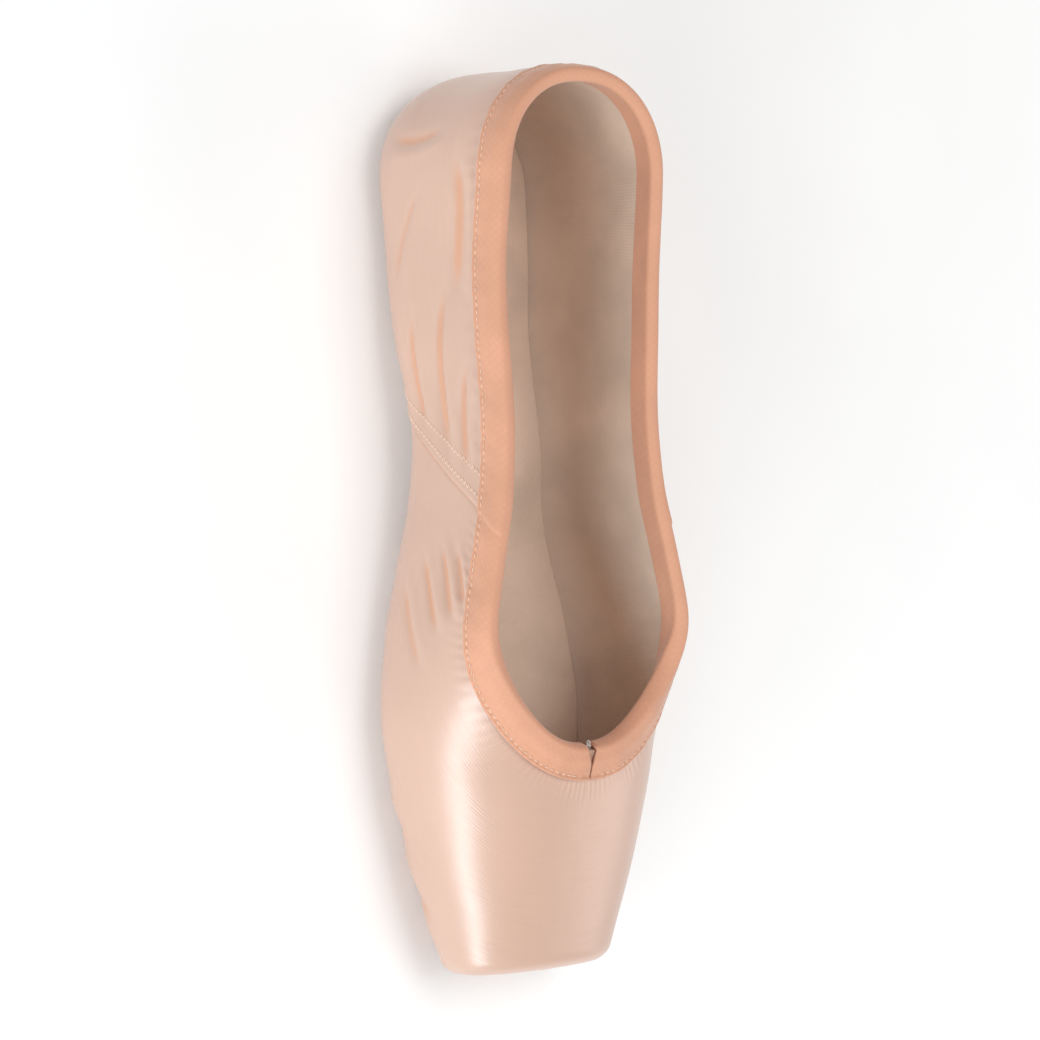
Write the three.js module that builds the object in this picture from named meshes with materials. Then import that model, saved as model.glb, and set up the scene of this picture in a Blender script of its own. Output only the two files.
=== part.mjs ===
// Pointe shoe standing on its outsole, in millimetres.
// +Z is up, the toe points to -Y, the heel to +Y, and Z = 0 is the floor.
// The last is a straight one, so the shoe is the same on its left and right.
import * as THREE from "three";

// Overall sizes of the last
const LENGTH = 235;
const BALL_WIDTH = 78;
const WAIST_WIDTH = 54;
const HEEL_WIDTH = 59;
const INSTEP_HEIGHT = 47.5;
const HEEL_HEIGHT = 57;
const WAIST_HEIGHT = 50;

// Toe box
const VAMP_LENGTH = 56.5;
const VAMP_CROWN = 0.8;
const PLATFORM_WIDTH = 48;
const PLATFORM_HEIGHT = 27;
const PLATFORM_EDGE = 4;
const TOE_PLEATS = 8;
const PLEAT_HEIGHT = 0.7;
const PLEAT_START = 2;

// Walls and layers
const QUARTER_WALL = 1.6;
const BOX_WALL = 2.8;
const MARGIN_WALL = 1.8;
const LASTING_MARGIN = 8;
const INSOLE_THICKNESS = 1.8;
const INSOLE_INSET = 1.6;
const INSOLE_BEVEL = 1.4;
const CLEARANCE = 0.3;

// Outsole
const OUTSOLE_BACK = 7;
const OUTSOLE_LENGTH = 196;
const OUTSOLE_BALL_WIDTH = 55;
const OUTSOLE_WAIST_WIDTH = 29;
const OUTSOLE_HEEL_WIDTH = 38;
const OUTSOLE_THICKNESS = 2.4;
const OUTSOLE_BEVEL = 0.5;
const ARCH_RISE = 4;
const TOE_SPRING = 1.5;

// Side seam, where the quarter laps over the vamp
const SEAM_FOOT = 86;
const SEAM_LEAN = 40;
const SEAM_STEP = 0.5;
const SEAM_LAP = 9;
const SEAM_EDGE = 0.7;

// Binding tape and drawstring
const BINDING_DEPTH = 7.6;
const BINDING_INNER_DEPTH = 6.4;
const BINDING_THICKNESS = 0.9;
const NOTCH_HALF = 1.35;
const BUTT_HALF = 0.25;
const KNOT_HALF_LENGTH = 1.6;

// How the last is divided: fans of ribs round the heel and the toe, straight ribs between
const HEEL_AXIS = 0.128 * LENGTH;
const TOE_AXIS = LENGTH - 1.36 * VAMP_LENGTH;
const HEEL_RIBS = 8;
const BACK_RIBS = 7;
const FRONT_RIBS = 7;
const WING_RIBS = 4;
const PLEAT_REACH = THREE.MathUtils.degToRad(50);
const OUTER_POINTS = 20;
const INNER_POINTS = 13;
const MARGIN_POINTS = 3;
const FEATHER_RISE = 0.15;
const CURVE_STEPS = 90;
const ROOT_STEPS = 30;
const SMALLEST_AREA = 1e-6;
const NEAR_ZERO = 0.001;

// Half widths of the last along its length, each a share of a named width.
// at: share of the length from the heel, half: half width, flat: share of it that is flat below,
// middle: height of the widest line as a share of the instep height
const SECTIONS = [
  { at: 0.128, half: 0.500 * HEEL_WIDTH, flat: 0.73, middle: 0.42 },
  { at: 0.200, half: 0.496 * HEEL_WIDTH, flat: 0.72, middle: 0.42 },
  { at: 0.290, half: 0.525 * WAIST_WIDTH, flat: 0.66, middle: 0.42 },
  { at: 0.390, half: 0.500 * WAIST_WIDTH, flat: 0.60, middle: 0.42 },
  { at: 0.470, half: 0.525 * WAIST_WIDTH, flat: 0.60, middle: 0.41 },
  { at: 0.545, half: 0.415 * BALL_WIDTH, flat: 0.66, middle: 0.40 },
  { at: 0.620, half: 0.465 * BALL_WIDTH, flat: 0.72, middle: 0.38 },
  { at: 0.710, half: 0.500 * BALL_WIDTH, flat: 0.74, middle: 0.37 },
  { at: 0.780, half: 0.482 * BALL_WIDTH, flat: 0.70, middle: 0.36 },
  { at: 0.840, half: 0.445 * BALL_WIDTH, flat: 0.64, middle: 0.36 },
  { at: 0.900, half: 0.402 * BALL_WIDTH, flat: 0.58, middle: 0.36 },
  { at: 0.955, half: 0.565 * PLATFORM_WIDTH, flat: 0.54, middle: 0.365 },
  { at: 1.000, half: 0.500 * PLATFORM_WIDTH, flat: 0.52, middle: 0.37 },
];

// Half widths of the outsole along its own length, each a share of a named width
const OUTSOLE_SECTIONS = [
  { at: 0.00, half: 0.46 * OUTSOLE_HEEL_WIDTH },
  { at: 0.14, half: 0.50 * OUTSOLE_HEEL_WIDTH },
  { at: 0.26, half: 0.48 * OUTSOLE_HEEL_WIDTH },
  { at: 0.46, half: 0.50 * OUTSOLE_WAIST_WIDTH },
  { at: 0.62, half: 0.41 * OUTSOLE_BALL_WIDTH },
  { at: 0.76, half: 0.50 * OUTSOLE_BALL_WIDTH },
  { at: 0.87, half: 0.45 * OUTSOLE_BALL_WIDTH },
  { at: 1.00, half: 0.36 * OUTSOLE_BALL_WIDTH },
];

// Height of the collar edge along the length, each a share of a named height
const COLLAR = [
  { at: 0.00, height: 1.00 * HEEL_HEIGHT },
  { at: 0.10, height: 0.985 * HEEL_HEIGHT },
  { at: 0.25, height: 1.03 * WAIST_HEIGHT },
  { at: 0.42, height: 1.00 * WAIST_HEIGHT },
  { at: 0.60, height: 1.035 * INSTEP_HEIGHT },
  { at: 0.76, height: 1.00 * INSTEP_HEIGHT },
];

// Roundness of the last's curves: 2 is an ellipse, more is squarer
const HEEL_PLAN_POWER = 2.2;
const UPPER_POWER = 2.3;
const LOWER_POWER = 2.1;
const OUTSOLE_END_POWER = 2.3;
const OUTSOLE_TOE_ROUND = 0.42;

const mix = (a, b, t) => a + (b - a) * t;
const clamp = (t) => Math.min(1, Math.max(0, t));
const ease = (t) => clamp(t) ** 2 * (3 - 2 * clamp(t));

// A smooth curve through one column of a table, with no overshoot between its rows.
function column(rows, name) {
  const at = rows.map((row) => row.at);
  const value = rows.map((row) => row[name]);
  const slope = (i) => (value[i + 1] - value[i]) / (at[i + 1] - at[i]);
  const tangent = rows.map((row, i) => {
    if (i === 0 || i === rows.length - 1) return 0;
    const product = slope(i - 1) * slope(i);
    return product > 0 ? (2 * product) / (slope(i - 1) + slope(i)) : 0;
  });
  tangent[rows.length - 1] = slope(rows.length - 2);
  return (share) => {
    if (share <= at[0]) return value[0];
    if (share >= at[at.length - 1]) return value[value.length - 1];
    let i = 0;
    while (share > at[i + 1]) i += 1;
    const width = at[i + 1] - at[i];
    const t = (share - at[i]) / width;
    const rise = value[i] * (1 + 2 * t) * (1 - t) ** 2 + value[i + 1] * t * t * (3 - 2 * t);
    return rise + width * (tangent[i] * t * (1 - t) ** 2 - tangent[i + 1] * t * t * (1 - t));
  };
}

const halfWidth = column(SECTIONS, "half");
const flatShare = column(SECTIONS, "flat");
const middleShare = column(SECTIONS, "middle");
const collarHeight = column(COLLAR, "height");
const outsoleHalf = column(OUTSOLE_SECTIONS, "half");

// Underside of the outsole above the floor: flat heel and ball, a raised arch and a toe spring.
const ARCH_START = 0.26 * LENGTH;
const ARCH_END = 0.56 * LENGTH;
const SPRING_START = 0.71 * LENGTH;
function soleLift(s) {
  const arch = Math.sin(Math.PI * clamp((s - ARCH_START) / (ARCH_END - ARCH_START))) ** 2;
  const spring = 1 - Math.cos(0.5 * Math.PI * clamp((s - SPRING_START) / (LENGTH - SPRING_START)));
  return ARCH_RISE * arch + TOE_SPRING * spring;
}

// How far the rounded edge of the platform draws the last in, near the tip of the toe.
function edgeRound(s) {
  const t = clamp((s - LENGTH + PLATFORM_EDGE) / PLATFORM_EDGE);
  return PLATFORM_EDGE * (1 - Math.sqrt(1 - t * t));
}

// Bottom and ridge of the last. Behind the throat the ridge climbs as an instep does, far above
// the collar, so that the walls stand nearly upright where the collar edge cuts them.
const THROAT = LENGTH - VAMP_LENGTH;
const THROAT_CLIMB = 0.012 * INSTEP_HEIGHT;
const THROAT_RUN = 0.133 * VAMP_LENGTH;
const FULL_CLIMB = 12;
const LEG_HEIGHT = 1.55 * HEEL_HEIGHT;
const RIDGE_BLEND = 6;
function bottom(s) {
  return soleLift(s) + OUTSOLE_THICKNESS + CLEARANCE;
}
function ridge(s) {
  const tip = bottom(LENGTH) + PLATFORM_HEIGHT;
  const share = (LENGTH - s) / VAMP_LENGTH;
  const vamp = mix(tip, INSTEP_HEIGHT, share) + VAMP_CROWN * Math.sin(Math.PI * clamp(share));
  const behind = Math.max(0, THROAT - s);
  const climb = THROAT_CLIMB * (Math.exp(Math.min(FULL_CLIMB, behind / THROAT_RUN)) - 1);
  const instep = vamp + climb;
  return (instep ** -RIDGE_BLEND + LEG_HEIGHT ** -RIDGE_BLEND) ** (-1 / RIDGE_BLEND);
}

// The last as a field: below zero inside it, above zero outside. Its sections are flat below,
// round at the side and arched above, the heel is the same section carried round in plan,
// and the platform is cut off flat.
function lastField(x, s, z) {
  const share = s / LENGTH;
  const draw = edgeRound(s);
  const half = halfWidth(share) - draw;
  const low = bottom(s) + draw;
  const high = ridge(s) - draw;
  const middle = middleShare(share) * INSTEP_HEIGHT;
  const back = Math.max(0, HEEL_AXIS - s) / HEEL_AXIS;
  const across = Math.abs(x) / half;
  const reach = (across ** HEEL_PLAN_POWER + back ** HEEL_PLAN_POWER) ** (1 / HEEL_PLAN_POWER);
  const flat = flatShare(share);
  const section = z > middle
    ? reach ** UPPER_POWER + ((z - middle) / (high - middle)) ** UPPER_POWER - 1
    : (Math.max(0, reach - flat) / (1 - flat)) ** LOWER_POWER
      + ((middle - z) / (middle - low)) ** LOWER_POWER - 1;
  return Math.max(section, (s - LENGTH) / PLATFORM_EDGE);
}

// The way out of the last at a point of its surface, from small steps of the field.
const FIELD_STEP = 0.02;
function outward(x, s, z) {
  const step = FIELD_STEP;
  const normal = new THREE.Vector3(
    lastField(x + step, s, z) - lastField(x - step, s, z),
    lastField(x, s + step, z) - lastField(x, s - step, z),
    lastField(x, s, z + step) - lastField(x, s, z - step),
  );
  return normal.normalize();
}

// Root of a rising function between two values, by halving.
function root(low, high, rising) {
  let a = low;
  let b = high;
  for (let i = 0; i < ROOT_STEPS; i += 1) {
    const c = 0.5 * (a + b);
    if (rising(c) < 0) a = c;
    else b = c;
  }
  return 0.5 * (a + b);
}

// Half width of the outsole's outline at s, drawn in by an inset, with rounded ends.
function outsoleOutline(s, inset) {
  const start = OUTSOLE_BACK + inset;
  const length = OUTSOLE_LENGTH - 2 * inset;
  const end = start + length;
  const heelRound = 0.5 * OUTSOLE_HEEL_WIDTH - inset;
  const toeRound = OUTSOLE_TOE_ROUND * OUTSOLE_BALL_WIDTH - inset;
  const nearHeel = clamp((start + heelRound - s) / heelRound);
  const nearToe = clamp((s - end + toeRound) / toeRound);
  const near = Math.max(nearHeel, nearToe);
  const close = (1 - near ** OUTSOLE_END_POWER) ** (1 / OUTSOLE_END_POWER);
  return (outsoleHalf((s - OUTSOLE_BACK) / OUTSOLE_LENGTH) - inset) * close;
}

// Ribs of one side of the shoe, from the tip of the toe round to the back of the heel.
// A rib stands on a spine point and runs out in one direction in plan. The ribs near the
// side seam lean forward as they rise, so that one of them lies along the seam.
function listRibs() {
  const ribs = [];
  const fanStep = PLEAT_REACH / (TOE_PLEATS + 1);
  for (let i = 0; i <= TOE_PLEATS + 1; i += 1) {
    ribs.push({ fan: true, spine: TOE_AXIS, turn: i * fanStep, forward: 1, pleat: i % 2 });
  }
  for (let i = 1; i <= WING_RIBS; i += 1) {
    const turn = mix(PLEAT_REACH, 0.5 * Math.PI, i / WING_RIBS);
    ribs.push({ fan: true, spine: TOE_AXIS, turn, forward: 1, pleat: 0 });
  }
  const side = (spine) => {
    ribs.push({ fan: false, spine, turn: 0.5 * Math.PI, forward: 1, pleat: 0 });
  };
  for (let i = 1; i < FRONT_RIBS; i += 1) side(mix(TOE_AXIS, SEAM_FOOT, i / FRONT_RIBS));
  side(SEAM_FOOT + 0.5 * SEAM_EDGE);
  side(SEAM_FOOT - 0.5 * SEAM_EDGE);
  side(SEAM_FOOT - SEAM_LAP);
  for (let i = 1; i < BACK_RIBS; i += 1) side(mix(SEAM_FOOT - SEAM_LAP, HEEL_AXIS, i / BACK_RIBS));
  for (let i = 0; i <= HEEL_RIBS; i += 1) {
    const turn = 0.5 * Math.PI * (1 - i / HEEL_RIBS);
    ribs.push({ fan: true, spine: HEEL_AXIS, turn, forward: -1, pleat: 0 });
  }
  return ribs;
}

// Where the outsole's outline, drawn in by an inset, crosses a rib in plan.
function outsoleEdge(rib, inset) {
  const along = (r) => rib.spine + r * Math.cos(rib.turn) * rib.forward;
  const reach = root(0, LENGTH, (r) => {
    return r * Math.sin(rib.turn) + NEAR_ZERO - outsoleOutline(along(r), inset);
  });
  return { x: reach * Math.sin(rib.turn), s: along(reach) };
}

// Where a rib's point at distance r and height z lies: across, and along from the heel.
function onRib(rib, r, z) {
  const before = (rib.spine - HEEL_AXIS) / (SEAM_FOOT - HEEL_AXIS);
  const after = (TOE_AXIS - rib.spine) / (TOE_AXIS - SEAM_FOOT);
  const lean = SEAM_LEAN * clamp(Math.min(before, after));
  const rise = clamp((z - bottom(rib.spine)) / WAIST_HEIGHT);
  const along = rib.spine + r * Math.cos(rib.turn) * rib.forward + lean * rise;
  return { x: r * Math.sin(rib.turn), s: along, z };
}

// The last's skin along one rib, from the lasting margin's edge round to the collar edge,
// as close points with their distance run.
function skinCurve(rib) {
  const centre = middleShare(rib.spine / LENGTH) * INSTEP_HEIGHT;
  const field = (r, z) => {
    const p = onRib(rib, r, z);
    return lastField(p.x, p.s, p.z);
  };
  const far = LENGTH;
  const onSkin = (angle) => {
    const cos = Math.cos(angle);
    const sin = Math.sin(angle);
    const t = root(0, far, (d) => field(d * cos, centre + d * sin));
    return { angle, ...onRib(rib, t * cos, centre + t * sin) };
  };
  const edge = root(0, far, (r) => {
    const p = onRib(rib, r, 0);
    return Math.abs(p.x) + NEAR_ZERO - outsoleOutline(p.s, LASTING_MARGIN);
  });
  const first = Math.atan2(bottom(onRib(rib, edge, 0).s) - centre, edge);
  const last = root(0, 0.49 * Math.PI, (angle) => {
    const p = onSkin(angle);
    return p.z - collarHeight(p.s / LENGTH);
  });
  const points = [];
  for (let i = 0; i <= CURVE_STEPS; i += 1) points.push(onSkin(mix(first, last, i / CURVE_STEPS)));
  return points;
}

// Points of a skin curve at equal steps of a measure that adds its bends to its length,
// so that the tight bends get more of them.
const BEND_WEIGHT = 0.17 * INSTEP_HEIGHT;
function spread(points, count) {
  const run = [0];
  let before = null;
  for (let i = 1; i < points.length; i += 1) {
    const a = points[i - 1];
    const b = points[i];
    const piece = new THREE.Vector3(b.x - a.x, b.s - a.s, b.z - a.z);
    const bend = before ? piece.angleTo(before) : 0;
    run.push(run[i - 1] + piece.length() + BEND_WEIGHT * bend);
    before = piece;
  }
  const total = run[run.length - 1];
  const chosen = [];
  let i = 0;
  for (let k = 0; k < count; k += 1) {
    const want = (total * k) / (count - 1);
    while (i < points.length - 2 && run[i + 1] < want) i += 1;
    const t = (want - run[i]) / (run[i + 1] - run[i]);
    const a = points[i];
    const b = points[i + 1];
    chosen.push({ x: mix(a.x, b.x, t), s: mix(a.s, b.s, t), z: mix(a.z, b.z, t) });
  }
  return chosen;
}

const BOX_START = TOE_AXIS - 0.35 * VAMP_LENGTH;

// Thickness of the upper's wall: the lasting margin below, then quarter or toe box.
function wallAt(p) {
  const box = ease((p.s - BOX_START) / (TOE_AXIS - BOX_START));
  const side = mix(QUARTER_WALL, BOX_WALL, box);
  return mix(MARGIN_WALL, side, ease((p.z - bottom(p.s) - MARGIN_WALL) / LASTING_MARGIN));
}

// How far the wall's outside stands proud of the last's skin: the quarter's lap over the
// vamp at the side seam, and the pleats gathered under the toe. Both start at the outsole's edge.
function relief(rib, p) {
  const edge = outsoleEdge(rib, 0);
  const past = Math.hypot(p.x, p.s - rib.spine) - Math.hypot(edge.x, edge.s - rib.spine);
  const behind = SEAM_FOOT - rib.spine;
  const lap = behind > 0 && behind < SEAM_LAP ? SEAM_STEP * (1 - behind / SEAM_LAP) : 0;
  const low = 1 - ease((p.z - bottom(p.s)) / (0.3 * PLATFORM_HEIGHT));
  const before = 1 - ease((p.s - LENGTH + PLATFORM_EDGE) / PLATFORM_EDGE);
  const pleat = PLEAT_HEIGHT * rib.pleat * low * before;
  const clear = ease((past - PLEAT_START) / (2 * LASTING_MARGIN));
  return lap * ease((p.z - bottom(rib.spine)) / LASTING_MARGIN) + pleat * clear;
}

function moved(p, normal, distance) {
  return {
    x: p.x + normal.x * distance,
    s: p.s + normal.y * distance,
    z: p.z + normal.z * distance,
  };
}

const world = (p) => new THREE.Vector3(p.x, 0.5 * LENGTH - p.s, p.z);
const mirrored = (p) => ({ x: -p.x, s: p.s, z: p.z });
const lastOf = (list) => list[list.length - 1];

const ribs = listRibs();
const skins = ribs.map(skinCurve);

// Both sides of the shoe as one ring: the given side, then its mirror image back to the toe.
function aroundShoe(side) {
  const other = side.slice(1, -1).reverse();
  return [...side, ...other.map((profile) => profile.map(mirrored))];
}

// Collects the triangles of one body. Those that have shrunk away are left out, and a square
// of four points is cut along its shorter diagonal.
function meshOf(rings) {
  const points = rings.map((ring) => ring.map(world));
  const position = points.flat().flatMap((p) => [p.x, p.y, p.z]);
  const index = [];
  const place = (k) => new THREE.Vector3().fromArray(position, 3 * k);
  const triangle = (a, b, c) => {
    const area = place(b).sub(place(a)).cross(place(c).sub(place(a))).length();
    if (area > SMALLEST_AREA) index.push(a, b, c);
  };
  const square = (a, b, c, d) => {
    const across = place(a).distanceTo(place(c)) <= place(b).distanceTo(place(d));
    triangle(a, b, across ? c : d);
    triangle(across ? a : b, c, d);
  };
  return { points, position, index, triangle, square };
}

// A closed body from rings of points. Each ring is a closed profile, joined to the next, and
// the rings close on themselves or end in flat caps.
function bodyFromRings(rings, closed) {
  const { points, position, index, triangle, square } = meshOf(rings);
  const size = points[0].length;
  const at = (i, j) => (i % points.length) * size + (j % size);
  for (let i = 0; i < points.length - (closed ? 0 : 1); i += 1) {
    for (let j = 0; j < size; j += 1) square(at(i, j), at(i + 1, j), at(i + 1, j + 1), at(i, j + 1));
  }
  if (!closed) {
    const last = points.length - 1;
    for (const [a, b, c] of capOf(points[0])) triangle(at(0, a), at(0, b), at(0, c));
    for (const [a, b, c] of capOf(points[last])) triangle(at(last, a), at(last, c), at(last, b));
  }
  return facingOut(position, index);
}

// Triangles that fill a nearly flat ring of points, turning the way that the ring runs.
function capOf(ring) {
  const centre = new THREE.Vector3();
  for (const p of ring) centre.addScaledVector(p, 1 / ring.length);
  const normal = new THREE.Vector3();
  ring.forEach((p, i) => {
    const next = ring[(i + 1) % ring.length].clone().sub(centre);
    normal.add(p.clone().sub(centre).cross(next));
  });
  normal.normalize();
  const right = ring[0].clone().sub(centre).normalize();
  const up = normal.clone().cross(right);
  const flat = ring.map((p) => {
    const arm = p.clone().sub(centre);
    return new THREE.Vector2(arm.dot(right), arm.dot(up));
  });
  return THREE.ShapeUtils.triangulateShape(flat, []).map(([a, b, c]) => {
    const turn = THREE.ShapeUtils.area([flat[a], flat[b], flat[c]]);
    return turn > 0 ? [a, b, c] : [a, c, b];
  });
}

// Turns every triangle over where the body would be inside out.
function facingOut(position, index) {
  let volume = 0;
  const place = (k) => new THREE.Vector3().fromArray(position, 3 * k);
  for (let i = 0; i < index.length; i += 3) {
    volume += place(index[i]).dot(place(index[i + 1]).cross(place(index[i + 2])));
  }
  const order = index.slice();
  if (volume < 0) {
    for (let i = 0; i < order.length; i += 3) [order[i + 1], order[i + 2]] = [order[i + 2], order[i + 1]];
  }
  const geometry = new THREE.BufferGeometry();
  geometry.setAttribute("position", new THREE.Float32BufferAttribute(position, 3));
  geometry.setIndex(order);
  geometry.computeVertexNormals();
  return geometry;
}

// The collar edge where a rib meets it: its tip, the way out of the wall, and the way down the
// wall square to the edge. A rib that meets the edge at a slant runs further for the same depth.
function collarAt(i) {
  const skin = skins[i];
  const end = skin.length - 1;
  const tip = skin[end];
  const step = (a, b) => new THREE.Vector3(b.x - a.x, b.s - a.s, b.z - a.z);
  const edge = step(skins[Math.max(0, i - 1)][end], skins[Math.min(skins.length - 1, i + 1)][end]);
  if (i === 0 || i === skins.length - 1) edge.set(1, 0, 0);
  const normal = outward(tip.x, tip.s, tip.z);
  const down = normal.clone().cross(edge).normalize();
  const along = step(tip, skin[end - 4]).normalize();
  if (down.dot(along) < 0) down.negate();
  return { tip, normal, down, slant: down.dot(along) };
}

// The part of a skin curve that ends at a depth below the collar edge.
function skinBelow(i, depth) {
  const skin = skins[i];
  const length = depth / collarAt(i).slant;
  let k = skin.length - 1;
  let run = 0;
  while (k > 1) {
    const [a, b] = [skin[k], skin[k - 1]];
    const piece = Math.hypot(a.x - b.x, a.s - b.s, a.z - b.z);
    if (run + piece >= length) {
      const t = (length - run) / piece;
      const cut = { x: mix(a.x, b.x, t), s: mix(a.s, b.s, t), z: mix(a.z, b.z, t) };
      return [...skin.slice(0, k), cut];
    }
    run += piece;
    k -= 1;
  }
  return skin.slice(0, 2);
}


// Points of one rib: some on the flat margin up to the feather line, where the wall begins to
// rise, then most of them up the wall, and three of them under the binding.
function ribPoints(i, depth, count) {
  const wall = skinBelow(i, depth);
  const feather = wall.findIndex((p) => p.z > bottom(p.s) + FEATHER_RISE);
  const margin = spread(wall.slice(0, feather + 1), MARGIN_POINTS);
  const under = [lastOf(skinBelow(i, 0.5 * depth)), lastOf(skins[i])];
  const rise = spread(wall.slice(feather), count - margin.length - under.length + 1);
  return [...margin, ...rise.slice(1), ...under];
}

function outsideOf(i) {
  return ribPoints(i, BINDING_DEPTH, OUTER_POINTS).map((p) => {
    return moved(p, outward(p.x, p.s, p.z), relief(ribs[i], p));
  });
}

function insideOf(i) {
  return ribPoints(i, BINDING_INNER_DEPTH, INNER_POINTS).map((p) => {
    return moved(p, outward(p.x, p.s, p.z), -wallAt(p));
  });
}

// The upper: outside from margin to collar, then back down the inside.
function makeUpper() {
  const side = ribs.map((rib, i) => [...outsideOf(i), ...insideOf(i).reverse()]);
  return bodyFromRings(aroundShoe(side), true);
}

// A flat plate under the foot. Each rib gives its edge point at the top and at the bottom,
// and the spine point that it runs out from.
const PLATE_RINGS = [0, 0.55, 1];
function makePlate(edges, topHeight, bottomHeight) {
  const side = edges.map(({ spine, above, below }) => {
    const layer = (edge, height) => PLATE_RINGS.map((share) => {
      const s = mix(spine, edge.s, share);
      return { x: edge.x * share, s, z: height(s) };
    });
    return [...layer(below, bottomHeight), ...layer(above, topHeight).reverse()];
  });
  const { points, position, index, square } = meshOf(aroundShoe(side));
  const size = points[0].length;
  for (let i = 0; i < points.length; i += 1) {
    const next = (i + 1) % points.length;
    for (let j = 0; j < size - 1; j += 1) {
      square(i * size + j, next * size + j, next * size + j + 1, i * size + j + 1);
    }
  }
  return facingOut(position, index);
}

function makeOutsole() {
  const edges = ribs.map((rib) => {
    return { spine: rib.spine, above: outsoleEdge(rib, 0), below: outsoleEdge(rib, OUTSOLE_BEVEL) };
  });
  return makePlate(edges, (s) => soleLift(s) + OUTSOLE_THICKNESS, soleLift);
}

// The insole lies on the lasting margin, cut a little shy of the wall.
function makeInsole() {
  const floor = (s) => bottom(s) + MARGIN_WALL + CLEARANCE;
  const edges = ribs.map((rib, i) => {
    const inside = insideOf(i);
    const edgeAt = (height, inset) => {
      const k = inside.findIndex((p) => p.z > floor(p.s) + height);
      const a = inside[k - 1];
      const b = inside[k];
      const [under, over] = [a.z - floor(a.s) - height, b.z - floor(b.s) - height];
      const t = under / (under - over);
      const x = mix(a.x, b.x, t) - inset * Math.sin(rib.turn);
      const s = mix(a.s, b.s, t) - inset * Math.cos(rib.turn) * rib.forward;
      return { x: Math.max(0, x), s };
    };
    const below = edgeAt(0, INSOLE_INSET + INSOLE_BEVEL);
    const above = edgeAt(INSOLE_THICKNESS, INSOLE_INSET);
    return { spine: rib.fan ? rib.spine : 0.5 * (below.s + above.s), above, below };
  });
  return makePlate(edges, (s) => floor(s) + INSOLE_THICKNESS, floor);
}

// The binding's section on one rib: a folded tape over the collar edge, a clearance off the
// wall all round. Beside each point stands its share of the outer leg's depth.
function bindingSection(i) {
  const { tip, normal, down } = collarAt(i);
  const wall = wallAt(tip);
  const near = CLEARANCE + relief(ribs[i], tip);
  const inner = wall + CLEARANCE;
  const over = CLEARANCE + BINDING_THICKNESS;
  const onWall = (depth, offset) => {
    const p = lastOf(skinBelow(i, depth));
    return moved(p, outward(p.x, p.s, p.z), offset);
  };
  const overEdge = (height, offset) => moved(moved(tip, down, -height), normal, offset);
  return [
    { leg: 1, point: onWall(BINDING_DEPTH, near) },
    { leg: 1, point: onWall(BINDING_DEPTH, near + BINDING_THICKNESS) },
    { leg: 0.5, point: onWall(0.5 * BINDING_DEPTH, near + BINDING_THICKNESS) },
    { leg: 0, point: overEdge(0, near + BINDING_THICKNESS) },
    { leg: 0, point: overEdge(over, near) },
    { leg: 0, point: overEdge(over, -wall) },
    { leg: 0, point: overEdge(0, -inner - BINDING_THICKNESS) },
    { leg: 0, point: onWall(BINDING_INNER_DEPTH, -inner - BINDING_THICKNESS) },
    { leg: 0, point: onWall(BINDING_INNER_DEPTH, -inner) },
    { leg: 0, point: overEdge(CLEARANCE, -inner) },
    { leg: 0, point: overEdge(CLEARANCE, near) },
    { leg: 0.5, point: onWall(0.5 * BINDING_DEPTH, near) },
  ];
}

// The tape's ends stand apart in a small notch at the collar edge and butt together below it.
function makeBinding() {
  const side = ribs.map((rib, i) => bindingSection(i).map(({ point }) => point));
  const endAt = (sign) => bindingSection(0).map(({ leg, point }) => {
    return { x: sign * mix(NOTCH_HALF, BUTT_HALF, leg), s: point.s, z: point.z };
  });
  return bodyFromRings([endAt(1), ...aroundShoe(side).slice(1), endAt(-1)], false);
}

// The drawstring's knot sits on the collar edge, in the notch between the tape's ends.
function makeDrawstring() {
  const { tip, normal, down } = collarAt(0);
  const radius = NOTCH_HALF - CLEARANCE;
  const middle = moved(tip, normal, -0.5 * wallAt(tip));
  const centre = world(moved(middle, down, -radius - CLEARANCE));
  const knot = new THREE.SphereGeometry(1, 14, 10);
  knot.rotateX(0.5 * Math.PI);
  knot.scale(radius, radius, KNOT_HALF_LENGTH);
  knot.rotateX(Math.atan2(normal.y, normal.z));
  knot.translate(centre.x, centre.y, centre.z);
  return knot;
}

function part(name, geometry, color, roughness) {
  const material = new THREE.MeshStandardMaterial({ color, roughness, metalness: 0 });
  const mesh = new THREE.Mesh(geometry, material);
  mesh.name = name;
  return mesh;
}

const SATIN = 0xf0cdbe;
const TAPE = 0xf0aa82;
const SUEDE = 0xe1d4cd;
const COTTON = 0xe9dcd2;
const CORD = 0xd9d4cd;

const shoe = new THREE.Group();
shoe.name = "pointe_shoe";
shoe.add(part("upper", makeUpper(), SATIN, 0.35));
shoe.add(part("outsole", makeOutsole(), SUEDE, 0.9));
shoe.add(part("insole", makeInsole(), COTTON, 0.95));
shoe.add(part("binding", makeBinding(), TAPE, 0.6));
shoe.add(part("drawstring", makeDrawstring(), CORD, 0.9));

export default shoe;
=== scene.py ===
"""The looks of a satin pointe shoe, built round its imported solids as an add-on's operators."""

import math

import bmesh
import bpy
import numpy as np
from mathutils import Matrix, Vector


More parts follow.
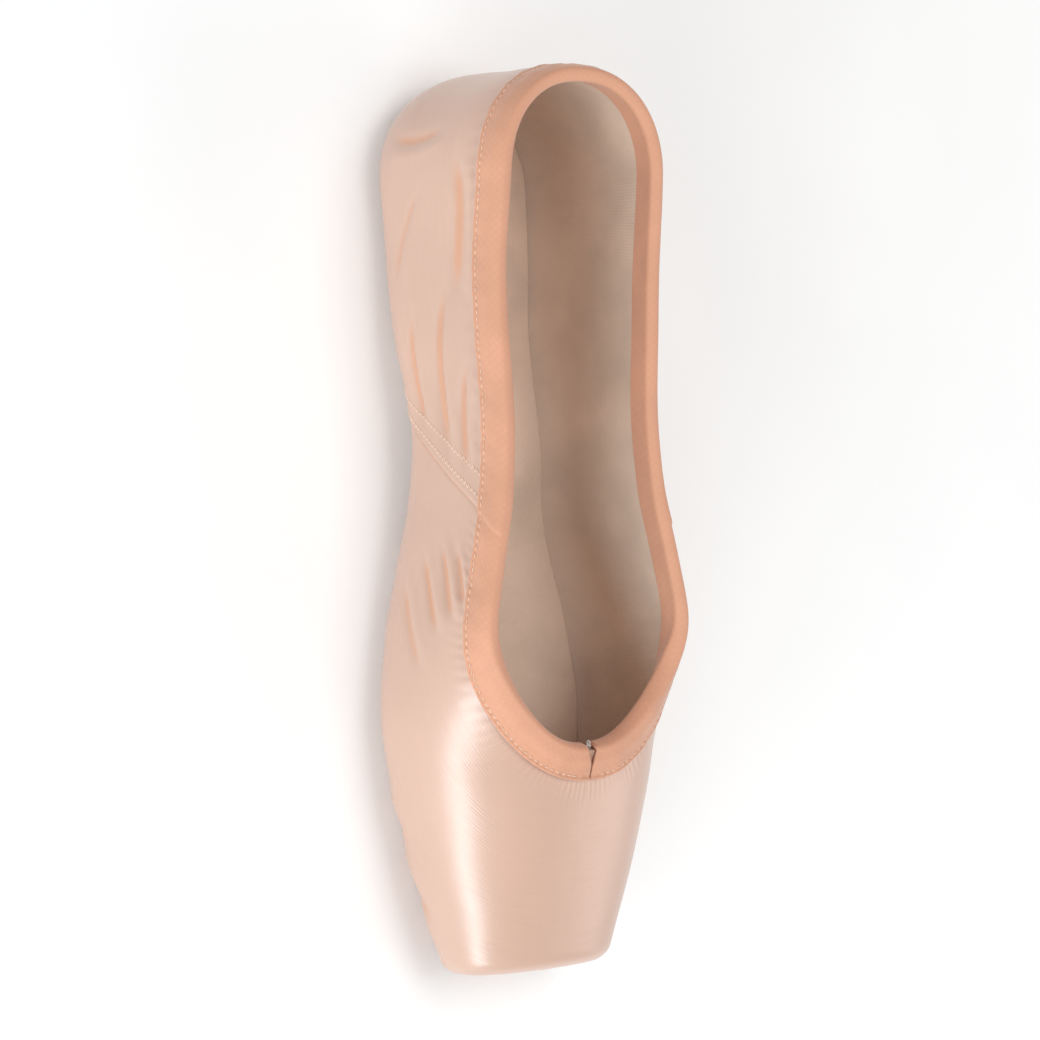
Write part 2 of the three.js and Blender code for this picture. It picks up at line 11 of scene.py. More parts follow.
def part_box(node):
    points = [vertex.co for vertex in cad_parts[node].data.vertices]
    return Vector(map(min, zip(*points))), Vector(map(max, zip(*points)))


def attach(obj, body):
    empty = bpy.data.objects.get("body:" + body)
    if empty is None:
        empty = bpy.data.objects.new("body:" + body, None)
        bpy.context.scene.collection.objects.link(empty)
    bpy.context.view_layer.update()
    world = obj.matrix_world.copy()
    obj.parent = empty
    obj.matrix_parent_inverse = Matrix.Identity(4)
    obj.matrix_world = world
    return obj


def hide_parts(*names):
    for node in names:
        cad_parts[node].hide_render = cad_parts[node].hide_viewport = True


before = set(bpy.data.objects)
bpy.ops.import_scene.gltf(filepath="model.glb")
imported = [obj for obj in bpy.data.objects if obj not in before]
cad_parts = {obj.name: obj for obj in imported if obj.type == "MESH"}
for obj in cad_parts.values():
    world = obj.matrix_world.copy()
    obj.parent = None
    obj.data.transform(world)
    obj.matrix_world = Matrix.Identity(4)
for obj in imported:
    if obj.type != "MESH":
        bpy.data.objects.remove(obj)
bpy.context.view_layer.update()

bl_info = {
    "name": "Pointe Shoe",
    "version": (1, 0, 0),
    "blender": (4, 5, 0),
    "location": "View3D > Sidebar > Pointe Shoe",
    "description": "Builds a satin pointe shoe from its last, in millimetres of the real shoe",
    "category": "Add Mesh",
}

MM = 0.001
HAIR = 0.001  # millimetres: a width too small to see

UPPER_LOW, UPPER_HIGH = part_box("upper")
LENGTH = (UPPER_HIGH.y - UPPER_LOW.y) / MM


def length_property(name, description, millimetres):
    """A size of the shoe, shown in scene units."""
    return bpy.props.FloatProperty(
        name=name, description=description, default=millimetres * MM, unit="LENGTH", subtype="DISTANCE"
    )


def colour_property(name, description, colour):
    """A linear colour that a user may change."""
    return bpy.props.FloatVectorProperty(
        name=name, description=description, default=colour, size=3, min=0.0, max=1.0, subtype="COLOR"
    )


class PointeShoeSizes(bpy.types.PropertyGroup):
    """Real sizes of the shoe's last, walls and trims."""

    length: length_property("Length", "From the back of the heel to the platform", LENGTH)
    ball_width: length_property("Ball width", "Widest part of the last", 78)
    waist_width: length_property("Waist width", "Narrowest part of the last", 54)
    heel_width: length_property("Heel width", "Widest part of the heel", 59)
    instep_height: length_property("Instep height", "Top of the vamp at the throat", 47.5)
    heel_height: length_property("Heel height", "Collar edge at the back", 57)
    waist_height: length_property("Waist height", "Collar edge at the waist", 50)
    vamp_length: length_property("Vamp length", "From the platform to the throat", 56.5)
    vamp_crown: length_property("Vamp crown", "Swell of the vamp over a straight line", 0.8)
    platform_width: length_property("Platform width", "Across the tip", 48)
    platform_height: length_property("Platform height", "Height of the tip", 27)
    platform_edge: length_property("Platform edge", "Rounding of the tip's edge", 4)
    quarter_wall: length_property("Quarter wall", "Thickness of the soft quarters", 1.6)
    box_wall: length_property("Box wall", "Thickness of the pasted toe box", 2.8)
    margin_wall: length_property("Margin wall", "Thickness of the turned-in margin", 1.8)
    margin: length_property("Lasting margin", "How far the upper turns in over the sole's edge", 8)
    insole_thickness: length_property("Insole thickness", "Sock and board", 1.8)
    insole_inset: length_property("Insole inset", "Gap left round the insole", 1.6)
    clearance: length_property("Clearance", "Gap left between pieces", 0.3)
    outsole_back: length_property("Outsole back", "From the back of the heel to the outsole", 7)
    outsole_length: length_property("Outsole length", "Length of the outsole", 196)
    outsole_ball: length_property("Outsole ball width", "Width of the outsole at the ball", 55)
    outsole_waist: length_property("Outsole waist width", "Width of the outsole at the waist", 29)
    outsole_heel: length_property("Outsole heel width", "Width of the outsole at the heel", 38)
    outsole_thickness: length_property("Outsole thickness", "Thickness of the leather", 2.4)
    arch_rise: length_property("Arch rise", "Height of the arch over the floor", 4)
    toe_spring: length_property("Toe spring", "Rise of the tip over the floor", 1.5)
    seam_foot: length_property("Seam foot", "Side seam at the sole, from the heel", 86)
    seam_lean: length_property("Seam lean", "How far the side seam runs forward", 40)
    seam_step: length_property("Seam step", "Thickness of the quarter's lap", 0.5)
    seam_lap: length_property("Seam lap", "Width of the quarter's lap", 9)
    pleat_height: length_property("Pleat height", "Depth of the folds under the toe", 1.0)
    binding_depth: length_property("Binding depth", "Outer leg of the folded tape", 7.6)
    binding_inner: length_property("Binding inner depth", "Inner leg of the folded tape", 6.4)
    binding_thickness: length_property("Binding thickness", "Folded tape", 0.9)
    notch_half: length_property("Notch half width", "Half the notch between the tape's ends", 1.35)
    butt_half: length_property("Butt half width", "Half the gap where the tape's ends meet", 0.22)
    cord_thickness: length_property("Drawstring thickness", "Cord of the small knot", 0.8)


class PointeShoeColours(bpy.types.PropertyGroup):
    """Linear colours of the shoe's materials."""

    satin: colour_property("Satin", "Peach pink satin", (0.645, 0.405, 0.305))
    # Painted glow and shade: a darker, warmer colour laid into the satin's folds, pleat valleys and seam
    # ditches in place of light bounced between satin faces and its shade
    satin_painted_glow: colour_property("Satin in folds", "Warm glow where satin faces satin", (0.70, 0.27, 0.10))
    tape: colour_property("Binding tape", "Matte bias tape", (0.68, 0.335, 0.21))
    sole: colour_property("Sole leather", "Pale buffed leather", (0.66, 0.545, 0.475))
    # The cut edge's own darker colour, also laid on as painted shadow along the sole's edge
    sole_edge: colour_property("Sole edge", "Cut edge of the leather", (0.33, 0.155, 0.065))
    lining: colour_property("Lining", "Natural cotton", (0.75, 0.58, 0.465))
    cord: colour_property("Drawstring", "Greyish white cotton cord", (0.62, 0.58, 0.54))
    thread: colour_property("Thread", "Peach sewing thread", (0.90, 0.66, 0.52))


# The last: the same field as the shoe's solids, in millimetres, as whole arrays.
# s runs from the back of the heel to the platform, x across and z up from the floor.

def mix(a, b, t):
    """From a to b as t goes from 0 to 1."""
    return a + (b - a) * t


def clamp(t):
    """t held between 0 and 1."""
    return np.clip(t, 0.0, 1.0)


def ease(t):
    """A smooth step: 3t^2 - 2t^3 between 0 and 1."""
    c = clamp(t)
    return c * c * (3 - 2 * c)


def bump(t, centre, half):
    """A soft bell over t, one at the centre and zero beyond the half width."""
    return (1 - clamp(np.abs((t - centre) / half)) ** 2) ** 2


def unit(vectors):
    """Vectors made one long."""
    return vectors / np.linalg.norm(vectors, axis=-1, keepdims=True)


def axes(points):
    """The x, s and z of points."""
    return np.moveaxis(points, -1, 0)


def run_along(points):
    """Distance of each point from the first, along the row that they form."""
    return np.concatenate([[0.0], np.cumsum(np.linalg.norm(np.diff(points, axis=0), axis=1))])


def monotone(table):
    """A smooth curve through rows of (place, value) with no overshoot: Hermite pieces whose tangents
    are the harmonic means of the slopes on both sides."""
    at, value = np.array(table, float).T
    slope = np.diff(value) / np.diff(at)
    tangent = np.zeros(len(at))
    product = slope[:-1] * slope[1:]
    total = np.where(product > 0, slope[:-1] + slope[1:], 1.0)
    tangent[1:-1] = np.where(product > 0, 2 * product / total, 0.0)
    tangent[-1] = slope[-1]

    def curve(share):
        i = np.clip(np.searchsorted(at, share) - 1, 0, len(at) - 2)
        width = at[i + 1] - at[i]
        t = clamp((share - at[i]) / width)
        rise = value[i] * (1 + 2 * t) * (1 - t) ** 2 + value[i + 1] * t * t * (3 - 2 * t)
        return rise + width * (tangent[i] * t * (1 - t) ** 2 - tangent[i + 1] * t * t * (1 - t))

    return curve


class Last:
    """The shoe's last and the layers on it, worked out from the sizes in millimetres."""

    HEEL_PLAN_POWER = 2.2
    UPPER_POWER = 2.3
    LOWER_POWER = 2.1
    OUTSOLE_END_POWER = 2.3
    OUTSOLE_TOE_ROUND = 0.42
    HEEL_AXIS = 0.128
    RIDGE_BLEND = 6
    FULL_CLIMB = 12
    ROOT_STEPS = 34
    NORMAL_STEP = 0.02

    def __init__(self, sizes):
        for name in sizes.__annotations__:
            setattr(self, name, getattr(sizes, name) / MM)
        ball, heel, waist = self.ball_width, self.heel_width, self.waist_width
        tip = self.platform_width
        sections = np.array([
            # share of length, half width, flat share below, widest height share
            (self.HEEL_AXIS, 0.500 * heel, 0.73, 0.42),
            (0.200, 0.496 * heel, 0.72, 0.42),
            (0.290, 0.525 * waist, 0.66, 0.42),
            (0.390, 0.500 * waist, 0.60, 0.42),
            (0.470, 0.525 * waist, 0.60, 0.41),
            (0.545, 0.415 * ball, 0.66, 0.40),
            (0.620, 0.465 * ball, 0.72, 0.38),
            (0.710, 0.500 * ball, 0.74, 0.37),
            (0.780, 0.482 * ball, 0.70, 0.36),
            (0.840, 0.445 * ball, 0.64, 0.36),
            (0.900, 0.402 * ball, 0.58, 0.36),
            (0.955, 0.565 * tip, 0.54, 0.365),
            (1.000, 0.500 * tip, 0.52, 0.37),
        ])
        self.half_width = monotone(sections[:, [0, 1]])
        self.flat_share = monotone(sections[:, [0, 2]])
        self.middle_share = monotone(sections[:, [0, 3]])
        self.outsole_half = monotone([
            # share of the outsole's length, half width
            (0.00, 0.46 * self.outsole_heel),
            (0.14, 0.50 * self.outsole_heel),
            (0.26, 0.48 * self.outsole_heel),
            (0.46, 0.50 * self.outsole_waist),
            (0.62, 0.41 * self.outsole_ball),
            (0.76, 0.50 * self.outsole_ball),
            (0.87, 0.45 * self.outsole_ball),
            (1.00, 0.36 * self.outsole_ball),
        ])
        self.collar_height = monotone([
            # share of length, height of the collar edge
            (0.00, 1.000 * self.heel_height),
            (0.10, 0.985 * self.heel_height),
            (0.25, 1.030 * self.waist_height),
            (0.42, 1.000 * self.waist_height),
            (0.60, 1.035 * self.instep_height),
            (0.76, 1.000 * self.instep_height),
        ])
        self.heel_axis = self.HEEL_AXIS * self.length
        self.toe_axis = self.length - 1.36 * self.vamp_length
        self.throat = self.length - self.vamp_length
        self.box_start = self.toe_axis - 0.35 * self.vamp_length
        self.tip_height = self.bottom(self.length) + self.platform_height

    def sole_lift(self, s):
        """Underside of the outsole: a squared sine arch and a cosine toe spring."""
        arch = np.sin(np.pi * clamp((s - 0.26 * self.length) / (0.30 * self.length))) ** 2
        rise = clamp((s - 0.71 * self.length) / (0.29 * self.length))
        return self.arch_rise * arch + self.toe_spring * (1 - np.cos(0.5 * np.pi * rise))

    def bottom(self, s):
        """Underside of the last, a clearance over the outsole."""
        return self.sole_lift(s) + self.outsole_thickness + self.clearance

    def ridge(self, s):
        """Top line of the last: a crowned straight vamp, then an exponential climb behind the throat."""
        share = (self.length - s) / self.vamp_length
        crown = self.vamp_crown * np.sin(np.pi * clamp(share))
        behind = np.maximum(0.0, self.throat - s) / (0.133 * self.vamp_length)
        climb = 0.012 * self.instep_height * (np.exp(np.minimum(self.FULL_CLIMB, behind)) - 1)
        instep = mix(self.tip_height, self.instep_height, share) + crown + climb
        leg = 1.55 * self.heel_height
        n = self.RIDGE_BLEND
        return (instep ** -n + leg ** -n) ** (-1 / n)

    def field(self, x, s, z):
        """Below zero inside the last. A flat-bottomed superellipse section, carried round the heel."""
        share = s / self.length
        t = clamp((s - self.length + self.platform_edge) / self.platform_edge)
        draw = self.platform_edge * (1 - np.sqrt(1 - t * t))
        half = self.half_width(share) - draw
        low = self.bottom(s) + draw
        high = self.ridge(s) - draw
        middle = self.middle_share(share) * self.instep_height
        back = np.maximum(0.0, self.heel_axis - s) / self.heel_axis
        p = self.HEEL_PLAN_POWER
        reach = ((np.abs(x) / half) ** p + back ** p) ** (1 / p)
        flat = self.flat_share(share)
        over = reach ** self.UPPER_POWER + np.abs((z - middle) / (high - middle)) ** self.UPPER_POWER
        side = (np.maximum(0.0, reach - flat) / (1 - flat)) ** self.LOWER_POWER
        under = side + np.abs((middle - z) / (middle - low)) ** self.LOWER_POWER
        section = np.where(z > middle, over, under) - 1
        return np.maximum(section, (s - self.length) / self.platform_edge)

    def normal(self, p):
        """Unit vectors out of the last at points, from central differences of the field."""
        steps = self.NORMAL_STEP * np.eye(3)
        rises = [self.field(*axes(p + step)) - self.field(*axes(p - step)) for step in steps]
        return unit(np.stack(rises, axis=-1))

    def outsole_outline(self, s, inset):
        """Half width of the outsole at s, drawn in by an inset, with superellipse ends."""
        start = self.outsole_back + inset
        end = start + self.outsole_length - 2 * inset
        heel_round = 0.5 * self.outsole_heel - inset
        toe_round = self.OUTSOLE_TOE_ROUND * self.outsole_ball - inset
        near = np.maximum(clamp((start + heel_round - s) / heel_round),
                          clamp((s - end + toe_round) / toe_round))
        close = (1 - near ** self.OUTSOLE_END_POWER) ** (1 / self.OUTSOLE_END_POWER)
        return (self.outsole_half((s - self.outsole_back) / self.outsole_length) - inset) * close

    def root(self, shape, far, rising):
        """Where a rising function of an array crosses zero between 0 and far, by halving every
        interval at once."""
        a, b = np.zeros(shape), np.full(shape, float(far))
        for _ in range(self.ROOT_STEPS):
            c = 0.5 * (a + b)
            under = rising(c) < 0
            a, b = np.where(under, c, a), np.where(under, b, c)
        return 0.5 * (a + b)

    def to_outsole(self, foot, sin, cos, inset):
        """Distance in plan from a foot on the spine, along (sin, cos), to the outsole's outline
        drawn in by an inset."""
        return self.root(np.shape(sin), self.length, lambda r: r * sin + HAIR
                         - self.outsole_outline(foot + r * cos, inset))

    def wall(self, p):
        """Thickness of the upper's wall: the lasting margin below, then quarter or toe box."""
        _, s, z = axes(p)
        box = ease((s - self.box_start) / (self.toe_axis - self.box_start))
        side = mix(self.quarter_wall, self.box_wall, box)
        above = ease((z - self.bottom(s) - self.margin_wall) / self.margin)
        return mix(self.margin_wall, side, above)


class Ribs:
    """Ribs round the whole shoe, from the toe over the +X side to the heel and back.

    A rib stands on a spine point and runs out in plan at a turn from the length: a fan round the
    toe, straight stations, a fan round the heel. Near the side seam the ribs lean forward."""

    SKIN_STEPS = 200
    BEND_WEIGHT = 6.0

    def __init__(self, last, spine, turn, forward):
        self.last = last
        self.spine, self.turn, self.forward = spine, turn, forward
        before = (spine - last.heel_axis) / (last.seam_foot - last.heel_axis)
        after = (last.toe_axis - spine) / (last.toe_axis - last.seam_foot)
        self.lean = last.seam_lean * clamp(np.minimum(before, after))
        self.count = len(turn)
        self.build()

    @classmethod
    def whole(cls, last, counts):
        """Ribs of one whole side: a fan of the toe, stations along the side and a fan of the heel."""
        toe, straight, heel = counts
        turn = np.concatenate([
            np.linspace(0, 0.5 * np.pi, toe, endpoint=False),
            np.full(straight + 1, 0.5 * np.pi),
            np.linspace(0.5 * np.pi, 0, heel + 1)[1:],
        ])
        side = np.linspace(last.toe_axis, last.heel_axis, straight + 1)
        spine = np.concatenate([np.full(toe, last.toe_axis), side, np.full(heel, last.heel_axis)])
        forward = np.concatenate([np.ones(toe + straight + 1), -np.ones(heel)])
        return cls(last, spine, turn, forward)

    @classmethod
    def at(cls, last, spine):
        """Straight ribs at the given spine points alone."""
        return cls(last, spine, np.full(len(spine), 0.5 * np.pi), np.ones(len(spine)))

    def place(self, r, z):
        """(x, s, z) of the ribs' points at distance r and height z."""
        shape = (self.count,) + (1,) * (np.ndim(r) - 1)
        turn, spine = self.turn.reshape(shape), self.spine.reshape(shape)
        rise = clamp((z - self.last.bottom(spine)) / self.last.waist_height)
        x = r * np.sin(turn)
        s = spine + r * np.cos(turn) * self.forward.reshape(shape) + self.lean.reshape(shape) * rise
        return x, s, z + 0 * x

    def outline(self, inset):
        """(x, s) where each rib crosses the outsole's outline drawn in by an inset, and how far out."""
        sin, cos = np.sin(self.turn), np.cos(self.turn) * self.forward
        r = self.last.to_outsole(self.spine, sin, cos, inset)
        return np.stack([r * sin, self.spine + r * cos], axis=-1), r

    def build(self):
        """The skin along each rib, from the lasting margin's edge round to the collar edge. Its
        measure counts length and, more, the turns of the skin."""
        last = self.last
        centre = last.middle_share(self.spine / last.length) * last.instep_height

        def on_skin(angle):
            c = centre.reshape((self.count,) + (1,) * (np.ndim(angle) - 1))
            cos, sin = np.cos(angle), np.sin(angle)
            r = last.root(angle.shape, last.length, lambda d: last.field(*self.place(d * cos, c + d * sin)))
            return self.place(r * cos, c + r * sin)

        def over_collar(angle):
            _, s, z = on_skin(angle)
            return z - last.collar_height(s / last.length)

        edge, out = self.outline(last.margin)
        first = np.arctan2(last.bottom(edge[:, 1]) - centre, out)
        final = last.root(self.count, 0.49 * np.pi, over_collar)
        share = np.linspace(0, 1, self.SKIN_STEPS + 1)
        angle = first[:, None] + (final - first)[:, None] * share[None, :]
        self.skin = np.stack(on_skin(angle), axis=-1)
        step = np.diff(self.skin, axis=1)
        length = np.linalg.norm(step, axis=2)
        cosine = np.sum(step[:, 1:] * step[:, :-1], axis=2) / (length[:, 1:] * length[:, :-1])
        weighted = length.copy()
        weighted[:, 1:] += self.BEND_WEIGHT * np.arccos(np.clip(cosine, -1, 1))
        start = np.zeros((self.count, 1))
        self.run = np.concatenate([start, np.cumsum(length, axis=1)], axis=1)
        self.measure = np.concatenate([start, np.cumsum(weighted, axis=1)], axis=1)

    def sample(self, measure, wanted):
        """Points of every rib's skin where its measure has the wanted values, one row a rib,
        and their distance from the collar edge down the wall."""
        index = np.array([np.searchsorted(own, values) for own, values in zip(measure, wanted)])
        index = np.clip(index, 1, measure.shape[1] - 1)
        rows = np.arange(self.count)[:, None]
        low, high = measure[rows, index - 1], measure[rows, index]
        t = clamp((wanted - low) / np.maximum(high - low, 1e-9))[..., None]
        run = mix(self.run[rows, index - 1], self.run[rows, index], t[..., 0])
        return mix(self.skin[rows, index - 1], self.skin[rows, index], t), self.run[:, -1:] - run

    def spread(self, count):
        """Points and depths at equal steps of the measure, from the margin's edge to the collar."""
        return self.sample(self.measure, self.measure[:, -1:] * np.linspace(0, 1, count)[None, :])

    def collar(self):
        """Tip, outward normal, downward direction square to the collar edge, and slant of each rib."""
        tip = self.skin[:, -1]
        along = unit(self.skin[:, -6] - tip)
        edge = np.empty_like(tip)
        edge[1:-1] = tip[2:] - tip[:-2]
        edge[0] = edge[-1] = (1, 0, 0)
        normal = self.last.normal(tip)
        down = unit(np.cross(normal, edge))
        down *= np.sign(np.sum(down * along, axis=1, keepdims=True))
        return tip, normal, down, np.sum(down * along, axis=1)

    def below(self, depth, slant):
        """Points of the skin at depths square to the collar edge, one column a depth."""
        return self.sample(self.run, self.run[:, -1:] - depth[None, :] / slant[:, None])[0]


def around(side):
    """Both sides of the shoe as one ring: the given side, then its mirror image back to the toe."""
    other = side[-2:0:-1].copy()
    other[..., 0] *= -1
    return np.concatenate([side, other])


def both(values):
    """Numbers of one side carried round both sides."""
    return np.concatenate([values, values[-2:0:-1]])


def skin_layer(ribs, count):
    """The last's skin on closed rings: points, outward normals, depths below the collar edge, side
    (1 for +X, -1 for -X) and distance round the shoe."""
    skin, depth = ribs.spread(count)
    p, d = around(skin), both(depth)
    side = np.ones(d.shape)
    side[ribs.count:] = -1
    along = np.broadcast_to(run_along(p[:, count // 2])[:, None], d.shape)
    return p, around(ribs.last.normal(skin)), d, side, along


def cloth_map(points, along, down):
    """Millimetres along and down the cloth at every point."""
    cloth = np.zeros(points.shape)
    cloth[..., 0], cloth[..., 1] = along, down
    return cloth


def to_world(points):
    """(x, s, z) in millimetres to metres in the shoe's frame."""
    x, s, z = axes(points)
    return np.stack([x, 0.5 * LENGTH - s, z], axis=-1) * MM


def grid_faces(grids, rows, columns, close_rows, close_columns):
    """Quads of like grids of rows by columns points, each joined round either way."""
    i = np.arange(rows if close_rows else rows - 1)
    j = np.arange(columns if close_columns else columns - 1)
    a, b = np.meshgrid(i, j, indexing="ij")
    a2, b2 = (a + 1) % rows, (b + 1) % columns
    quads = np.stack([a * columns + b, a2 * columns + b, a2 * columns + b2, a * columns + b2], axis=-1)
    first = np.arange(grids) * rows * columns
    return (quads.reshape(1, -1, 4) + first[:, None, None]).reshape(-1, 4)


def make_piece(name, points, closed, material, replaces, fields, weld=True):
    """One closed mesh in the shoe's frame that rides on the shoe, with its faces pointing out. The
    points are one grid or more, each of rows by columns, joined round the ways that closed names.
    Fields are numbers or vectors of the points. Points that meet at poles and ends are welded."""
    rows, columns = points.shape[-3:-1]
    quads = grid_faces(points.size // (3 * rows * columns), rows, columns, *closed)
    mesh = bpy.data.meshes.new(name)
    mesh.vertices.add(points.size // 3)
    mesh.vertices.foreach_set("co", to_world(points).astype(np.float32).ravel())
    mesh.loops.add(quads.size)
    mesh.loops.foreach_set("vertex_index", quads.astype(np.int32).ravel())
    mesh.polygons.add(len(quads))
    mesh.polygons.foreach_set("loop_start", np.arange(0, quads.size, 4, dtype=np.int32))
    mesh.update(calc_edges=True)
    for key, values in fields.items():
        kind, part = ("FLOAT_VECTOR", "vector") if values.ndim == points.ndim else ("FLOAT", "value")
        layer = mesh.attributes.new(key, kind, "POINT")
        layer.data.foreach_set(part, np.ascontiguousarray(values, dtype=np.float32).ravel())
    work = bmesh.new()
    work.from_mesh(mesh)
    if weld:
        bmesh.ops.remove_doubles(work, verts=work.verts, dist=1e-7)
    bmesh.ops.recalc_face_normals(work, faces=work.faces)
    if work.calc_volume(signed=True) < 0:
        bmesh.ops.reverse_faces(work, faces=work.faces)
    work.to_mesh(mesh)
    work.free()
    mesh.polygons.foreach_set("use_smooth", np.ones(len(mesh.polygons), dtype=bool))
    mesh.materials.append(material)
    mesh.update()
    piece = bpy.data.objects.new(name, mesh)
    bpy.context.scene.collection.objects.link(piece)
    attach(piece, "root")
    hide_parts(*replaces)
    return piece


# Relief of the satin, in millimetres out of the last's skin

# Creases. Side: 1 is +X, -1 is -X, 0 is both. The three points bend one curve, each
# as a share of the shoe's length from the heel and of the waist's height below the collar edge.
# Then the trough's half width and depth and the height of the ridge beside it, in millimetres.
CREASES = [
    (0, (0.215, 0.34), (0.340, 0.60), (0.440, 0.50), 3.2, 0.80, 0.85),
    (0, (0.250, 0.64), (0.340, 0.80), (0.402, 0.74), 2.8, 0.55, 0.60),
    (0, (0.520, 0.34), (0.560, 0.25), (0.600, 0.17), 1.5, 0.55, 0.50),
    (0, (0.512, 0.47), (0.565, 0.36), (0.614, 0.25), 1.7, 0.60, 0.60),
    (0, (0.522, 0.60), (0.575, 0.49), (0.628, 0.35), 1.8, 0.55, 0.50),
    (0, (0.550, 0.72), (0.610, 0.60), (0.668, 0.46), 2.2, 0.40, 0.35),
    (-1, (0.315, 0.24), (0.385, 0.40), (0.455, 0.32), 2.4, 0.60, 0.55),
    (1, (0.300, 0.22), (0.370, 0.36), (0.450, 0.28), 2.4, 0.55, 0.50),
    (-1, (0.066, 0.42), (0.088, 0.62), (0.070, 0.92), 2.6, 0.44, 0.40),
    (1, (0.110, 0.22), (0.132, 0.50), (0.112, 0.84), 2.6, 0.46, 0.42),
    (-1, (0.085, 0.34), (0.170, 0.24), (0.270, 0.32), 3.5, 0.90, 0.60),
    (1, (0.035, 0.60), (0.080, 0.74), (0.150, 0.98), 2.0, 0.34, 0.30),
    (-1, (0.125, 0.58), (0.175, 0.74), (0.245, 0.80), 2.4, 0.40, 0.34),
]


